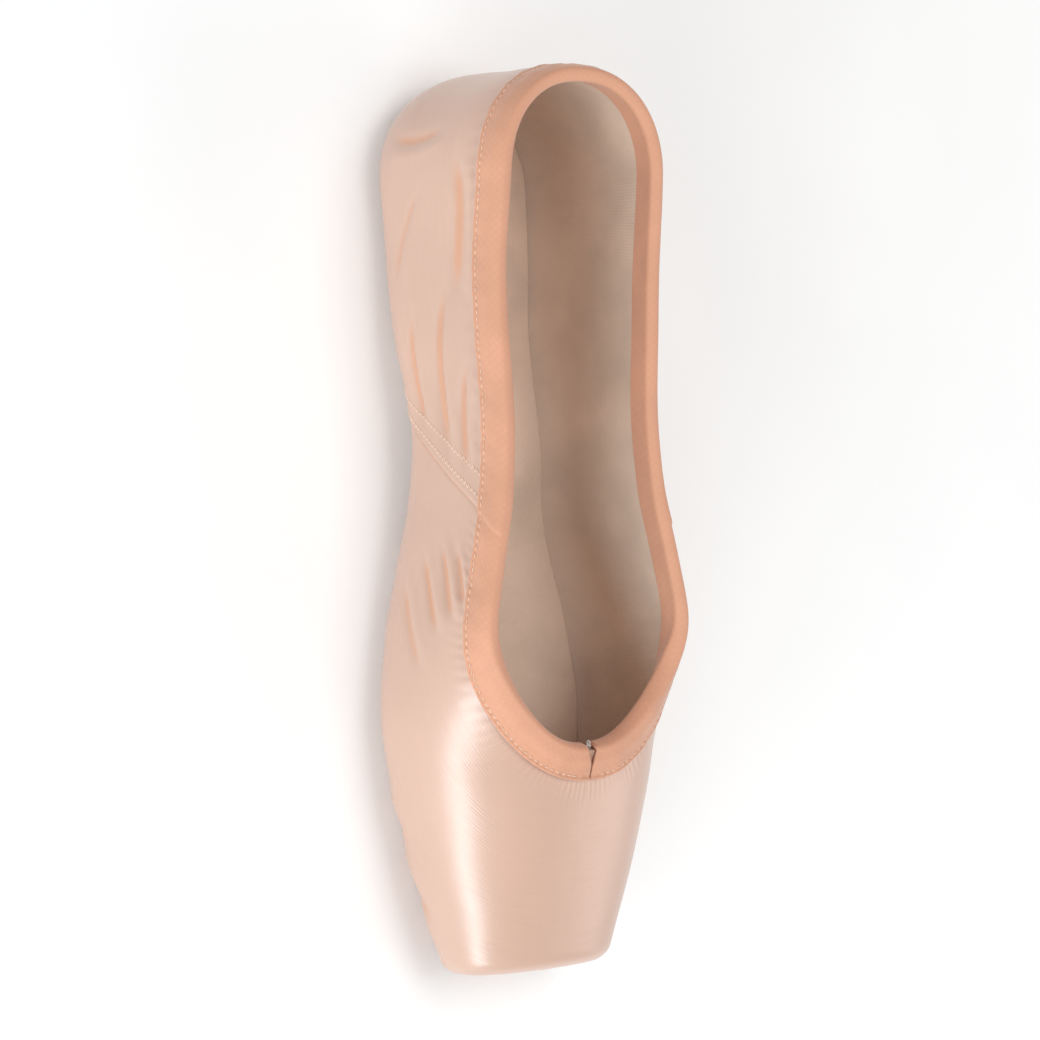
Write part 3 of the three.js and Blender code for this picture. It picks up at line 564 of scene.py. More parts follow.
class Folds:
    """Pleats, laps, gathers and creases of the satin over the last."""

    PLEAT_REACH = math.radians(50)
    PLEATS = 9
    CREASE_STEPS = 14
    CREASE_END = 0.3
    # Share of a crease's depth that shows as painted glow and shade in its trough
    CREASE_GLOW = 0.68
    GATHER, HEEL_GATHER = 0.13, 0.06
    SWELL, VAMP_SWELL = 0.55, 0.05
    LAP_EDGE, LAP_DITCH = 0.10, 0.16
    BACK_RIDGE, BACK_DITCH = 0.16, 0.34
    PUCKER = 0.07
    UNDER_BINDING = 7.0
    DEEPEST = 0.55  # share of the wall

    def __init__(self, last):
        self.last = last

    def past_outsole(self, p, spine):
        """Distance of a point beyond the outsole's outline in plan, out from the spine in the fans
        of the toe and heel and straight across between them."""
        last = self.last
        x, s, _ = axes(p)
        fan = (spine >= last.toe_axis - HAIR) | (spine <= last.heel_axis + HAIR)
        foot = np.where(fan, spine, s)
        r = np.maximum(np.hypot(x, s - foot), HAIR)
        return r - last.to_outsole(foot, np.abs(x) / r, (s - foot) / r, 0.0)

    def low(self, p, height):
        """One beside the sole, falling to zero at a height above it."""
        _, s, z = axes(p)
        return 1 - ease((z - self.last.bottom(s)) / height)

    def pleats(self, p, past):
        """Knife pleats fanned from the outsole's toe end: the root of a leaning sine of the turn,
        so round ridges between sharp valleys. Also how deep in a valley each point is, the mask of
        the painted glow and shade in the valleys."""
        last = self.last
        x, s, z = axes(p)
        ahead = s - last.toe_axis
        turn = np.arctan2(x, ahead)
        share = turn / self.PLEAT_REACH
        sway = 0.16 * np.sin(5 * turn + 0.9) + 0.02 * ahead * np.sin(3.1 * turn)
        phase = share * self.PLEATS + sway * clamp(np.abs(share) * 2)
        leaning = phase + 0.22 * np.sign(phase) * np.sin(np.pi * phase)
        ridge = np.abs(np.sin(0.5 * np.pi * leaning))
        uneven = 0.82 + 0.18 * np.sin(1.9 * phase + 1.0)
        low = 1 - ease((z - last.bottom(s) - 2) / (0.52 * last.platform_height))
        tip = 1 - ease((s - last.length + last.platform_edge) / last.platform_edge)
        inside = 1 - ease((np.abs(share) - 0.86) / 0.30)
        amount = ease((past + 2.0) / 7.0) * low * mix(0.15, 1.0, tip) * inside * uneven
        height = last.pleat_height * (1.35 * ridge ** 0.6 - 0.65) * amount
        return height, amount * clamp(1 - 2.3 * ridge) * ease((past + 3.0) / 4.0)

    def gathers(self, p, past, along):
        """Small ripples where the satin is drawn in under the outsole's edge: an uneven sine round
        the shoe, strongest at the heel and gone under the pleats."""
        ripple = np.sin(along * 1.15 + 0.8 * np.sin(along * 0.21)) * (0.7 + 0.3 * np.sin(along * 0.37))
        toe = ease((p[..., 1] - self.last.toe_axis) / 20)
        heel = ease((self.last.heel_axis - p[..., 1]) / 12)
        amount = (self.GATHER + self.HEEL_GATHER * heel) * (1 - toe)
        return amount * ripple * bump(past, 1.5, 9.0) * self.low(p, 9.0)

    def waves(self, p, side):
        """Soft swells, each a product of two sines: large on the unpadded quarters, small on the
        vamp."""
        _, s, z = axes(p)
        soft = 1 - ease((s - 0.52 * self.last.length) / (0.16 * self.last.length))
        quarter = np.sin(s * 0.115 + z * 0.07 + 0.9 * side) * np.sin(z * 0.13 + 0.5 + s * 0.017 * side)
        vamp = np.sin(s * 0.21 + 1.3 * side) * np.sin(z * 0.17)
        return self.SWELL * soft * quarter + self.VAMP_SWELL * (1 - soft) * vamp

    def creases(self, p, depth, side):
        """Troughs along the listed curves. With d the distance from the curve in half widths, the
        height is -(1 - d*d) * exp(-d*d), and a softer ridge exp(-(d - 1.5)**2 / 0.8) stands on the
        side towards the collar. Each crease fades at its ends. Also how deep in one each point is."""
        spot = np.stack([p[..., 1], depth], axis=-1)
        total, deep = np.zeros(depth.shape), np.zeros(depth.shape)
        t = np.linspace(0, 1, self.CREASE_STEPS + 1)[:, None]
        for sign, *bends, half, height, ridge in CREASES:
            a, b, c = np.array(bends) * (self.last.length, self.last.waist_height)
            curve = (1 - t) ** 2 * a + 2 * t * (1 - t) * b + t * t * c
            inside = (spot > curve.min(axis=0) - 4 * half) & (spot < curve.max(axis=0) + 4 * half)
            near = np.all(inside, axis=-1) & (side * sign >= 0)
            arm, step = spot[near][:, None] - curve[:-1], np.diff(curve, axis=0)
            foot = clamp(np.sum(arm * step, axis=2) / np.sum(step * step, axis=1))
            gap = np.linalg.norm(arm - foot[..., None] * step, axis=2)
            best = np.argmin(gap, axis=1)
            rows = np.arange(len(best))
            along = (best + foot[rows, best]) / self.CREASE_STEPS
            arm, step = arm[rows, best], step[best]
            turn = step[:, 0] * arm[:, 1] - step[:, 1] * arm[:, 0]
            far = gap[rows, best] / (half * mix(0.75, 1.15, along))
            above = np.where(turn < 0, far, -far)
            fade = ease(along / self.CREASE_END) * ease((1 - along) / self.CREASE_END)
            trough = height * (1 - far ** 2) * np.exp(-far ** 2)
            total[near] += fade * (ridge * np.exp(-(above - 1.5) ** 2 / 0.8) - trough)
            # How deep in a crease each point is: the mask of the painted glow and shade in its trough
            deep[near] = np.maximum(deep[near], fade * np.exp(-2.2 * far ** 2) * clamp(height / 0.5))
        return total, deep

    def seams(self, p, spine):
        """The quarter's lap over the vamp, a step that runs out behind, then the narrow ditch before
        its folded edge with the back seam's ditch between two low ridges, and how deep in a seam
        each point is, the mask of the painted shade in the seam ditches."""
        last = self.last
        x, s, z = axes(p)
        x = np.abs(x)
        behind = last.seam_foot - spine
        above = ease((z - last.bottom(spine)) / last.margin)
        lap = last.seam_step * ease((behind + 0.35) / 0.7) * (1 - clamp(behind / last.seam_lap)) * above
        ditch = bump(behind, -0.7, 0.9)
        side = above * (self.LAP_EDGE * bump(behind, 0.5, 1.0) - self.LAP_DITCH * ditch)
        back = (s < last.heel_axis) * above
        heel = back * (self.BACK_RIDGE * bump(x, 1.6, 1.6) - self.BACK_DITCH * bump(x, 0.0, 0.9))
        return lap, side + heel, np.maximum(above * ditch, back * bump(x, 0.0, 0.8))

    def puckers(self, along, depth):
        """Small ripples that the binding's stitching draws in the satin just below it."""
        ripple = np.sin(along * 1.45 + 1.2 * np.sin(along * 0.17))
        return self.PUCKER * ripple * bump(depth, self.last.binding_depth + 1.5, 6.0)

    def relief(self, p, depth, spine, along, side):
        """Height of the satin over the last, how deep in a fold and in a seam it is (the masks of painted
        glow and shade), and how far past the outsole. Soft forms fade out under the binding and over the
        outsole."""
        past = self.past_outsole(p, spine)
        pleat, valley = self.pleats(p, past)
        crease, trough = self.creases(p, depth, side)
        lap, seam, line = self.seams(p, spine)
        clear = np.maximum(ease((past + 1.0) / 6.0), 1 - self.low(p, 14.0))
        free = ease((depth - self.UNDER_BINDING) / 4.0) * clear
        soft = (crease + self.waves(p, side)) * free
        loose = soft + self.gathers(p, past, along) + self.puckers(along, depth)
        bare = 1 - ease((self.last.binding_depth - 0.5 - depth) / 2.0)
        height = np.maximum(lap + pleat + (seam + loose) * bare, -self.DEEPEST * self.last.wall(p))
        return height, np.maximum(valley, self.CREASE_GLOW * trough * free), line, past


# Materials

class Shader:
    """A material whose own sockets hold its uniform values and whose nodes hold its detail."""

    def __init__(self, name, **values):
        self.material = bpy.data.materials.new(name)
        self.material.use_nodes = True
        self.tree = self.material.node_tree
        self.surface = self.tree.nodes["Principled BSDF"]
        for key, value in values.items():
            self.surface.inputs[key.replace("_", " ")].default_value = value

    def node(self, kind, inputs=None, **settings):
        """A node with its settings and its inputs, each a value or another node's output."""
        made = self.tree.nodes.new(kind)
        for key, value in settings.items():
            setattr(made, key, value)
        for key, value in (inputs or {}).items():
            if isinstance(value, bpy.types.NodeSocket):
                self.tree.links.new(value, made.inputs[key])
            else:
                made.inputs[key].default_value = value
        return made

    def attribute(self, name, output="Fac"):
        """A value stored on the piece's points."""
        return self.node("ShaderNodeAttribute", attribute_name=name).outputs[output]

    def place(self, scale, on_cloth):
        """Millimetres along and down the cloth, or metres of the piece's own frame, times a scale."""
        if on_cloth:
            where = self.attribute("cloth", "Vector")
        else:
            where = self.node("ShaderNodeTexCoord").outputs["Object"]
        return self.node("ShaderNodeMapping", {"Vector": where, "Scale": scale}).outputs[0]

    def noise(self, scale, detail=2.0, roughness=0.5, on_cloth=False):
        """Soft random lumps between 0 and 1."""
        values = {"Vector": self.place(scale, on_cloth), "Scale": 1.0, "Detail": detail,
                  "Roughness": roughness}
        return self.node("ShaderNodeTexNoise", values).outputs[0]

    def wave(self, direction, scale, distortion, detail=2.0, detail_scale=1.0):
        """Threads between 0 and 1 across the cloth: a sine of the place, made wavy by distortion."""
        values = {"Vector": self.place(scale, True), "Scale": 1.0, "Distortion": distortion,
                  "Detail": detail, "Detail Scale": detail_scale}
        return self.node("ShaderNodeTexWave", values, bands_direction=direction).outputs[1]

    def between(self, value, low, high, bottom=0.0, top=1.0):
        """A smooth step of a value, from bottom to top."""
        values = {"Value": value, "From Min": low, "From Max": high, "To Min": bottom, "To Max": top}
        return self.node("ShaderNodeMapRange", values, interpolation_type="SMOOTHSTEP").outputs[0]

    def maths(self, operation, a, b):
        """One operation on two numbers."""
        return self.node("ShaderNodeMath", {0: a, 1: b}, operation=operation).outputs[0]

    def layers(self, colour, rows):
        """Colours laid over a colour. A row gives one, the value that shows it, where the value's
        smooth step starts and ends, and the share that it then has."""
        colour = (*colour, 1.0)
        for above, value, start, end, share in rows:
            values = {0: self.between(value, start, end, 0.0, share), 6: colour, 7: (*above, 1.0)}
            colour = self.node("ShaderNodeMix", values, data_type="RGBA").outputs[2]
        return colour

    def finish(self, colour, roughness, bumps):
        """Joins colour, roughness and a chain of bumps, each a height, its depth in metres and its
        strength."""
        links = self.tree.links
        links.new(colour, self.surface.inputs["Base Color"])
        links.new(roughness, self.surface.inputs["Roughness"])
        normal = {}
        for height, depth, strength in bumps:
            values = {"Height": height, "Distance": depth, "Strength": strength, **normal}
            normal = {"Normal": self.node("ShaderNodeBump", values).outputs[0]}
        links.new(normal["Normal"], self.surface.inputs["Normal"])
        return self.material


def scaled(colour, factor):
    """A colour made lighter or darker."""
    return tuple(min(1.0, c * factor) for c in colour)


def satin_material(colours):
    """Glossy satin: fine crosswise threads, a painted warm glow and shade deep in folds and seam ditches,
    faint soiling by the sole.
    """
    look = Shader("satin", Sheen_Weight=0.15, Sheen_Roughness=0.35, Coat_Weight=0.30,
                  Coat_Roughness=0.42, Specular_IOR_Level=1.0)
    base, deep, dirt = colours.satin, colours.satin_painted_glow, (0.42, 0.24, 0.13)
    patches = look.noise((22, 16, 22), 3.0)
    threads = look.noise((0.055, 1.9, 1.0), 3.0, 0.6, on_cloth=True)
    slubs = look.noise((0.9, 0.16, 1.0), on_cloth=True)
    lumps = look.noise((90, 60, 90))
    weave = look.wave("Y", (0.02, 0.42, 0.0), 1.2, 1.0, 0.8)
    spots = look.between(look.noise((120, 120, 120)), 0.42, 0.7)
    soil = look.maths("MULTIPLY", look.attribute("wear"), spots)
    colour = look.layers(scaled(base, 0.955), [
        (scaled(base, 1.03), patches, 0.35, 0.68, 1.0),
        (scaled(base, 0.80), threads, 0.42, 0.72, 0.16),
        (scaled(base, 1.10), slubs, 0.50, 0.75, 0.07),
        # Painted glow and shade in the folds and pleat valleys
        (deep, look.attribute("fold"), 0.15, 1.0, 0.85),
        # Painted shade in the side and back seam ditches
        (scaled(deep, 0.90), look.attribute("seam"), 0.25, 1.0, 0.60),
        (dirt, soil, 0.05, 0.9, 0.42),
    ])
    rough = look.maths("ADD", look.between(threads, 0.3, 0.8, 0.31, 0.40),
                       look.between(soil, 0.0, 1.0, 0.0, 0.22))
    bumps = [(lumps, 0.00045, 0.30), (threads, 0.00008, 0.45), (weave, 0.00003, 0.4)]
    return look.finish(colour, rough, bumps)


def tape_material(colours):
    """Matte folded bias tape: a diagonal dimpled weave, painted shade in the stitch dents and the notch, a
    little paler where the fold is rubbed.
    """
    look = Shader("binding_tape", Sheen_Weight=0.30, Sheen_Roughness=0.5, Specular_IOR_Level=0.35)
    base = colours.tape
    patches = look.noise((70, 70, 70), 3.0)
    weave = look.maths("MULTIPLY", look.wave("DIAGONAL", (0.30, 0.30, 0.0), 0.9, 1.0),
                       look.wave("DIAGONAL", (-0.30, 0.30, 0.0), 0.9, 1.0))
    colour = look.layers(scaled(base, 0.93), [
        (scaled(base, 1.05), patches, 0.3, 0.7, 1.0),
        (scaled(base, 0.72), weave, 0.8, 0.0, 0.12),
        # Painted shade in the stitch dents and in the notch between the tape's ends
        (scaled(base, 0.72), look.attribute("fold"), 0.1, 1.0, 0.45),
        (scaled(base, 1.15), look.attribute("rubbed"), 0.2, 1.0, 0.25),
    ])
    rough = look.between(patches, 0.2, 0.8, 0.62, 0.78)
    return look.finish(colour, rough, [(patches, 0.00018, 0.4), (weave, 0.00006, 0.5)])


def sole_material(colours):
    """Buffed pale leather: nap, a darker cut edge with a ragged dark line, partly the edge's own colour and
    partly painted shadow along the sole's edge, yellow stains, scuffs and shallow pressed scales under the
    ball."""
    look = Shader("sole_leather", Sheen_Weight=0.18, Sheen_Roughness=0.6, Specular_IOR_Level=0.28)
    base, yellow = colours.sole, (0.58, 0.42, 0.22)
    nap = look.noise((1500, 500, 1500), 4.0, 0.65)
    patches = look.noise((38, 24, 38), 4.0, 0.6)
    stains = look.noise((70, 55, 70), 3.0)
    scuffs = look.noise((420, 60, 420), 3.0, 0.7)
    ragged = look.between(look.noise((330, 330, 900), 3.0, 0.65), 0.36, 0.60, 0.35, 1.0)
    rim = look.maths("MULTIPLY", look.attribute("edge"), ragged)
    colour = look.layers(scaled(base, 0.86), [
        (scaled(base, 1.08), patches, 0.32, 0.70, 1.0),
        (yellow, stains, 0.58, 0.74, 0.50),
        (scaled(base, 0.62), scuffs, 0.58, 0.75, 0.35),
        (scaled(base, 0.74), nap, 0.3, 0.8, 0.20),
        (scaled(base, 0.66), look.attribute("scale"), 0.2, 1.0, 0.40),
        # Dark cut edge: partly the leather's own edge colour, partly painted shadow along the sole's edge
        (colours.sole_edge, rim, 0.12, 0.85, 0.85),
    ])
    rough = look.between(patches, 0.2, 0.8, 0.78, 0.92)
    return look.finish(colour, rough, [(nap, 0.00012, 0.55), (patches, 0.0004, 0.35)])


def cotton_material(colours):
    """Plain cotton drill: a square weave, soft patches, and a warmer, darker line of painted shade along
    seams and edges.
    """
    look = Shader("lining_cotton", Sheen_Weight=0.12, Specular_IOR_Level=0.25)
    base, warm = colours.lining, (0.70, 0.36, 0.20)
    weave = look.maths("MAXIMUM", look.wave("X", (0.50, 0.0, 0.0), 0.6),
                       look.wave("Y", (0.0, 0.50, 0.0), 0.6))
    patches = look.noise((45, 45, 45), 3.0)
    colour = look.layers(scaled(base, 0.88), [
        (scaled(base, 1.06), patches, 0.3, 0.7, 1.0),
        (scaled(base, 0.70), weave, 1.0, 0.2, 0.16),
        # Painted shade along the lining's back seam and the sock's edge
        (warm, look.attribute("fold"), 0.1, 1.0, 0.6),
    ])
    rough = look.between(patches, 0.2, 0.8, 0.84, 0.94)
    return look.finish(colour, rough, [(weave, 0.00010, 0.5), (patches, 0.0003, 0.3)])


def thread_material(name, colour):
    """Twisted thread or cord: a fine spiral of plies, with painted shade in the grooves between them."""
    look = Shader(name, Specular_IOR_Level=0.2)
    plies = look.wave("DIAGONAL", (0.8, 0.8, 0.0), 0.3)
    fuzz = look.noise((900, 900, 900))
    # Painted shade in the grooves between the plies
    shade = look.layers(colour, [(scaled(colour, 0.72), plies, 0.8, 0.0, 0.2)])
    return look.finish(shade, look.between(fuzz, 0.2, 0.8, 0.7, 0.9), [(plies, 0.00004, 0.4)])


# Pieces, in millimetres

# Ribs of one side: in the fan of the toe, along the side and in the fan of the heel
SATIN_RIBS = (150, 190, 66)
LINING_RIBS = (60, 90, 36)
OUTSOLE_RIBS = (90, 240, 60)
INSOLE_RIBS = (50, 90, 30)
SATIN_POINTS, SATIN_BACK_POINTS, LINING_POINTS = 92, 22, 40

SATIN_SHARE = 0.62  # of the wall; the lining takes the rest
LINING_GAP, LINING_SHY = 0.05, 0.02  # behind the satin, and short of the wall's inner face

# The tape's section: shares of its outer leg's depth from the lower edge up, turns over the collar
# edge from outside to inside, and shares of its inner leg's depth down to that leg's edge
TAPE_OUTSIDE = np.array([1.0, 0.985, 0.955, 0.92, 0.885, 0.85, 0.80, 0.74, 0.66, 0.56, 0.46, 0.36, 0.26,
                         0.16, 0.07])
TAPE_TURNS = np.array([0.04, 0.14, 0.25, 0.37, 0.5, 0.63, 0.75, 0.86, 0.96])
TAPE_INSIDE = np.array([0.07, 0.2, 0.4, 0.6, 0.78, 0.90, 0.96, 0.985, 1.0])
TAPE_OVER = 4.2  # way over the collar edge
TAPE_CREST = 0.35
TAPE_ENDS = [(0.0, 0.0), (0.05, 0.55), (0.22, 0.95), (0.55, 1.0)]  # distance from the end, fullness
TAPE_END_RUN = 1.2

STITCH_LINE, STITCH_PITCH, STITCH_LENGTH = 6.45, 1.9, 1.25
SEAM_ROWS, SEAM_PITCH, SEAM_HALF = (2.2, 6.4), 0.75, 0.55
SEAM_TOP, SEAM_FOOT = 0.6, 12.5  # gaps left under the binding and over the sole
THREAD_RADIUS, THREAD_SINK, THREAD_POINTS = 0.14, 0.06, 7
SEAM_LIFT, BINDING_LIFT = 0.03, 0.06


def skin_rings(folds, ribs):
    """The satin layer as closed rings: relief over the last outside, a share of the wall inside."""
    last = folds.last
    p, n, d, side, along = skin_layer(ribs, SATIN_POINTS)
    spine = np.broadcast_to(both(ribs.spine)[:, None], d.shape)
    height, deep, seam, past = folds.relief(p, d, spine, along, side)
    q, m, _, _, _ = skin_layer(ribs, SATIN_BACK_POINTS)
    back = q - m * (SATIN_SHARE * last.wall(q))[..., None]
    points = np.concatenate([p + n * height[..., None], back[:, ::-1]], axis=1)
    rubbed = 0.35 * ease((p[..., 1] - last.length + 3) / 3)
    wear = clamp(bump(past, 1.0, 5.0) * folds.low(p, 8.0) + rubbed)

    def outside(values):
        return np.concatenate([values, np.zeros((len(q), SATIN_BACK_POINTS))], axis=1)

    cloth = cloth_map(points, outside(along), outside(d))
    # fold and seam carry the masks of painted glow and shade in the folds, pleat valleys and seam ditches
    return points, {"fold": outside(deep), "seam": outside(seam), "wear": outside(wear), "cloth": cloth}


def lining_rings(ribs):
    """The lining as closed rings: just inside the satin's back, down to the wall's inner face with
    soft swells, each a product of two sines, and painted shade along a back seam."""
    last = ribs.last
    p, n, d, side, along = skin_layer(ribs, LINING_POINTS)
    x, s, z = axes(p)
    wall = last.wall(p)
    soft = 0.18 * np.sin(s * 0.16 + 1.4 * side) * np.sin(z * 0.14) * bump(d, 22.0, 16.0)
    outer = p - n * (SATIN_SHARE * wall + LINING_GAP)[..., None]
    inner = p - n * (wall + soft - LINING_SHY)[..., None]
    points = np.concatenate([outer, inner[:, ::-1]], axis=1)
    cloth = cloth_map(points, np.tile(along, 2), np.concatenate([d, d[:, ::-1]], axis=1))
    # Painted shade along the back seam
    seam = bump(x, 0.0, 0.7) * (s < last.heel_axis)
    return points, {"cloth": cloth, "fold": np.concatenate([0 * d, seam[:, ::-1]], axis=1)}


def tape_thickness(share):
    """Share of the tape's thickness at a share of a leg's depth: full, then thin at the edge."""
    return np.interp(share, (0.96, 0.985, 1.0), (1.0, 0.75, 0.0))


def tape_sections(folds, ribs):
    """The folded tape's section on every rib, along its outer face and back along its inner face.
    A face is an outer leg off the satin, a half superellipse over the collar edge and an inner leg
    off the lining. The outer leg swells over a casing and is pressed in by the stitches. Also
    the fields: distances along and down, share of the outer leg, crest, and how pressed it is."""
    last, thick = folds.last, folds.last.binding_thickness
    tip, normal, down, slant = ribs.collar()
    outside, inside = TAPE_OUTSIDE * last.binding_depth, TAPE_INSIDE * last.binding_inner
    outer_skin, inner_skin = ribs.below(outside, slant), ribs.below(inside, slant)
    near = (last.clearance + folds.seams(tip, ribs.spine)[0])[:, None]
    inner = (last.wall(tip) + last.clearance)[:, None]
    along = run_along(tip)[:, None]
    stitch = 0.5 + 0.5 * np.cos(along * 2 * np.pi / STITCH_PITCH)
    pinch = bump(outside, STITCH_LINE, 0.9)
    ruffle = 0.10 * np.sin(along * 0.9 + 1.3 * np.sin(along * 0.13)) * ease(outside / 4.0)
    swell = 0.34 * bump(outside, 2.4, 2.6) - pinch * (0.16 + 0.16 * stitch) + ruffle
    flare = 0.07 * TAPE_OUTSIDE ** 4
    turn = np.pi * TAPE_TURNS
    faces = []
    for outer in (1, 0):
        full = 0.5 + (outer - 0.5) * tape_thickness(TAPE_OUTSIDE)
        off = near + thick * full + swell * (full > 0.2) + flare
        outer_leg = outer_skin + last.normal(outer_skin) * off[..., None]
        half = 0.5 * (near + inner) + thick * outer
        sideways = 0.5 * (near - inner) + half * np.sign(np.cos(turn)) * np.abs(np.cos(turn)) ** 0.8
        rise = (last.clearance + (thick + TAPE_CREST) * outer) * np.sin(turn) ** 0.7
        over = tip[:, None] + normal[:, None] * sideways[..., None] - down[:, None] * rise[:, None]
        full = 0.5 + (outer - 0.5) * tape_thickness(TAPE_INSIDE)
        inner_leg = inner_skin - last.normal(inner_skin) * (inner + thick * full)[..., None]
        faces.append(np.concatenate([outer_leg, over, inner_leg], axis=1))
    points = np.concatenate([faces[0], faces[1][:, ::-1]], axis=1)
    run = np.concatenate([outside, -TAPE_OVER * TAPE_TURNS, -TAPE_OVER - inside])
    leg = np.concatenate([TAPE_OUTSIDE, 0 * turn, 0 * inside])
    crest = np.concatenate([0 * outside, np.sin(turn), 0 * inside])
    # How pressed the tape is by the stitches; it sets the painted shade in the stitch dents
    pressed = np.zeros(points.shape[:2])
    pressed[:, :len(outside)] = pinch * stitch
    return points, {
        "along": along[:, 0],
        "run": np.concatenate([run, run[::-1]]),
        "leg": np.concatenate([leg, leg[::-1]]),
        "crest": np.concatenate([crest, 0 * crest]),
        "pressed": pressed,
    }


def tape_rings(folds, ribs):
    """The tape from one side of the throat round the heel to the other. Its two folded ends fill out
    from the flattened middle section, and the gap between them opens to a notch at the top."""
    last = folds.last
    side, fields = tape_sections(folds, ribs)
    first = int(np.argmax(ribs.skin[:, -1, 0] > last.notch_half + 0.5))
    kept = slice(first, 1 - first or None)
    centre = side[0]
    flat = 0.5 * (centre + centre[::-1])
    gap = mix(last.butt_half, last.notch_half, (1 - clamp(fields["leg"] / 0.50)) ** 1.2)
    ends = []
    for out, full in TAPE_ENDS:
        end = mix(flat, centre, full)
        end[:, 0] = gap + out
        ends.append(end)
    mirrored = np.array(ends[::-1]) * (-1, 1, 1)
    points = np.concatenate([ends, around(side)[kept], mirrored])
    length = both(fields["along"])
    length[ribs.count:] = 2 * fields["along"][-1] - length[ribs.count:]
    length = length[kept]
    start = np.linspace(-TAPE_END_RUN, 0, len(ends))
    length = np.concatenate([start, length, length[-1] - start])
    blank = np.zeros((len(ends), len(centre)))
    pressed = np.concatenate([blank, both(fields["pressed"])[kept], blank])
    # Painted shade in the notch between the tape's ends at the throat
    notch = bump(np.abs(points[..., 0]), 0.0, 1.2) * (points[..., 1] > last.throat - 12)
    return points, {
        "cloth": cloth_map(points, length[:, None], fields["run"]),
        "fold": clamp(pressed + 0.8 * notch),
        "rubbed": np.broadcast_to(fields["crest"], pressed.shape),
    }


def plate_plan(spine, edges, shares):
    """(x, s) of a plate's rings on each rib: shares of the way from the spine to the edges."""
    edge = np.stack(edges, axis=1)
    return edge[..., 0] * shares, mix(spine[:, None], edge[..., 1], shares)


def outsole_scales(last, x, s):
    """How deep a point lies in the scales pressed in under the ball. A scale is a half round arc in
    a row that is set off by half a scale from the next."""
    row = s / 4.2
    shift = 0.5 * (np.floor(row) % 2)
    u, v = (x / 5.0 + shift) % 1.0 - 0.5, row % 1.0
    ring = np.abs(np.hypot(2 * u, 1.1 * v) - 0.93)
    patch = ease((s - 0.575 * last.length) / 10) * ease((0.845 * last.length - s) / 8)
    return patch * ease((0.40 * last.outsole_ball - np.abs(x)) / 5) * (1 - ease(ring / 0.16))


def outsole_rings(last, ribs):
    """The leather outsole: flat above, a skived rounded edge cut a little unevenly, and an underside
    worn in soft waves, a product of two sines, with the scales pressed in."""
    flush, rounded, skived, flat, turned, tread = (
        ribs.outline(inset)[0] for inset in (0.0, 0.15, 0.45, 0.9, 1.6, 2.6))
    thick = last.outsole_thickness
    rows = [(flat, share, thick) for share in (0.0, 0.5, 0.85, 1.0)]
    cut = len(rows)
    rows += [(edge, 1.0, level * thick) for edge, level in (
        (rounded, 0.985), (flush, 0.86), (flush, 0.62), (flush, 0.40), (rounded, 0.22), (skived, 0.10))]
    under = len(rows)
    rows += [(flat, 1.0, 0.08), (turned, 1.0, 0.02), (tread, 1.0, 0.0)]
    inside = len(rows)
    rows += [(tread, share, 0.0) for share in np.linspace(0.97, 0.0, 40)]
    edges, shares, rise = zip(*rows)
    x, s = plate_plan(ribs.spine, edges, np.array(shares))
    z = last.sole_lift(s) + np.array(rise)
    scales = outsole_scales(last, x, s)
    worn = 0.042 * (1 + np.sin(0.11 * s + 0.6) * np.sin(0.17 * x + 0.3))
    z[:, under:] += (worn + 0.22 * scales)[:, under:]
    points = around(np.stack([x, s, z], axis=-1))
    rim = points[:, cut + 1]
    run = run_along(rim)
    ragged = 0.10 * np.sin(run * 0.41 + 1.2 * np.sin(run * 0.11)) + 0.04 * np.sin(run * 1.3)
    out = unit(rim[:, :2] - points[:, cut - 1, :2])
    points[:, cut:inside, :2] += (out * (ragged - 0.14)[:, None])[:, None]
    toe = ease((rim[:, 1] - 0.80 * last.length) / 12)[:, None]
    # Darkness of each edge ring: partly the cut edge's own colour, partly painted shadow along the sole's
    # edge
    cut_edge_and_shadow = np.zeros(len(rows))
    cut_edge_and_shadow[cut:inside] = (0.35, 0.75, 0.85, 0.80, 0.95, 1.0, 0.9, 0.45, 0.10)
    scales[:, :inside] = 0
    return points, {"edge": clamp(cut_edge_and_shadow * (0.85 + 0.3 * toe)), "scale": both(scales)}


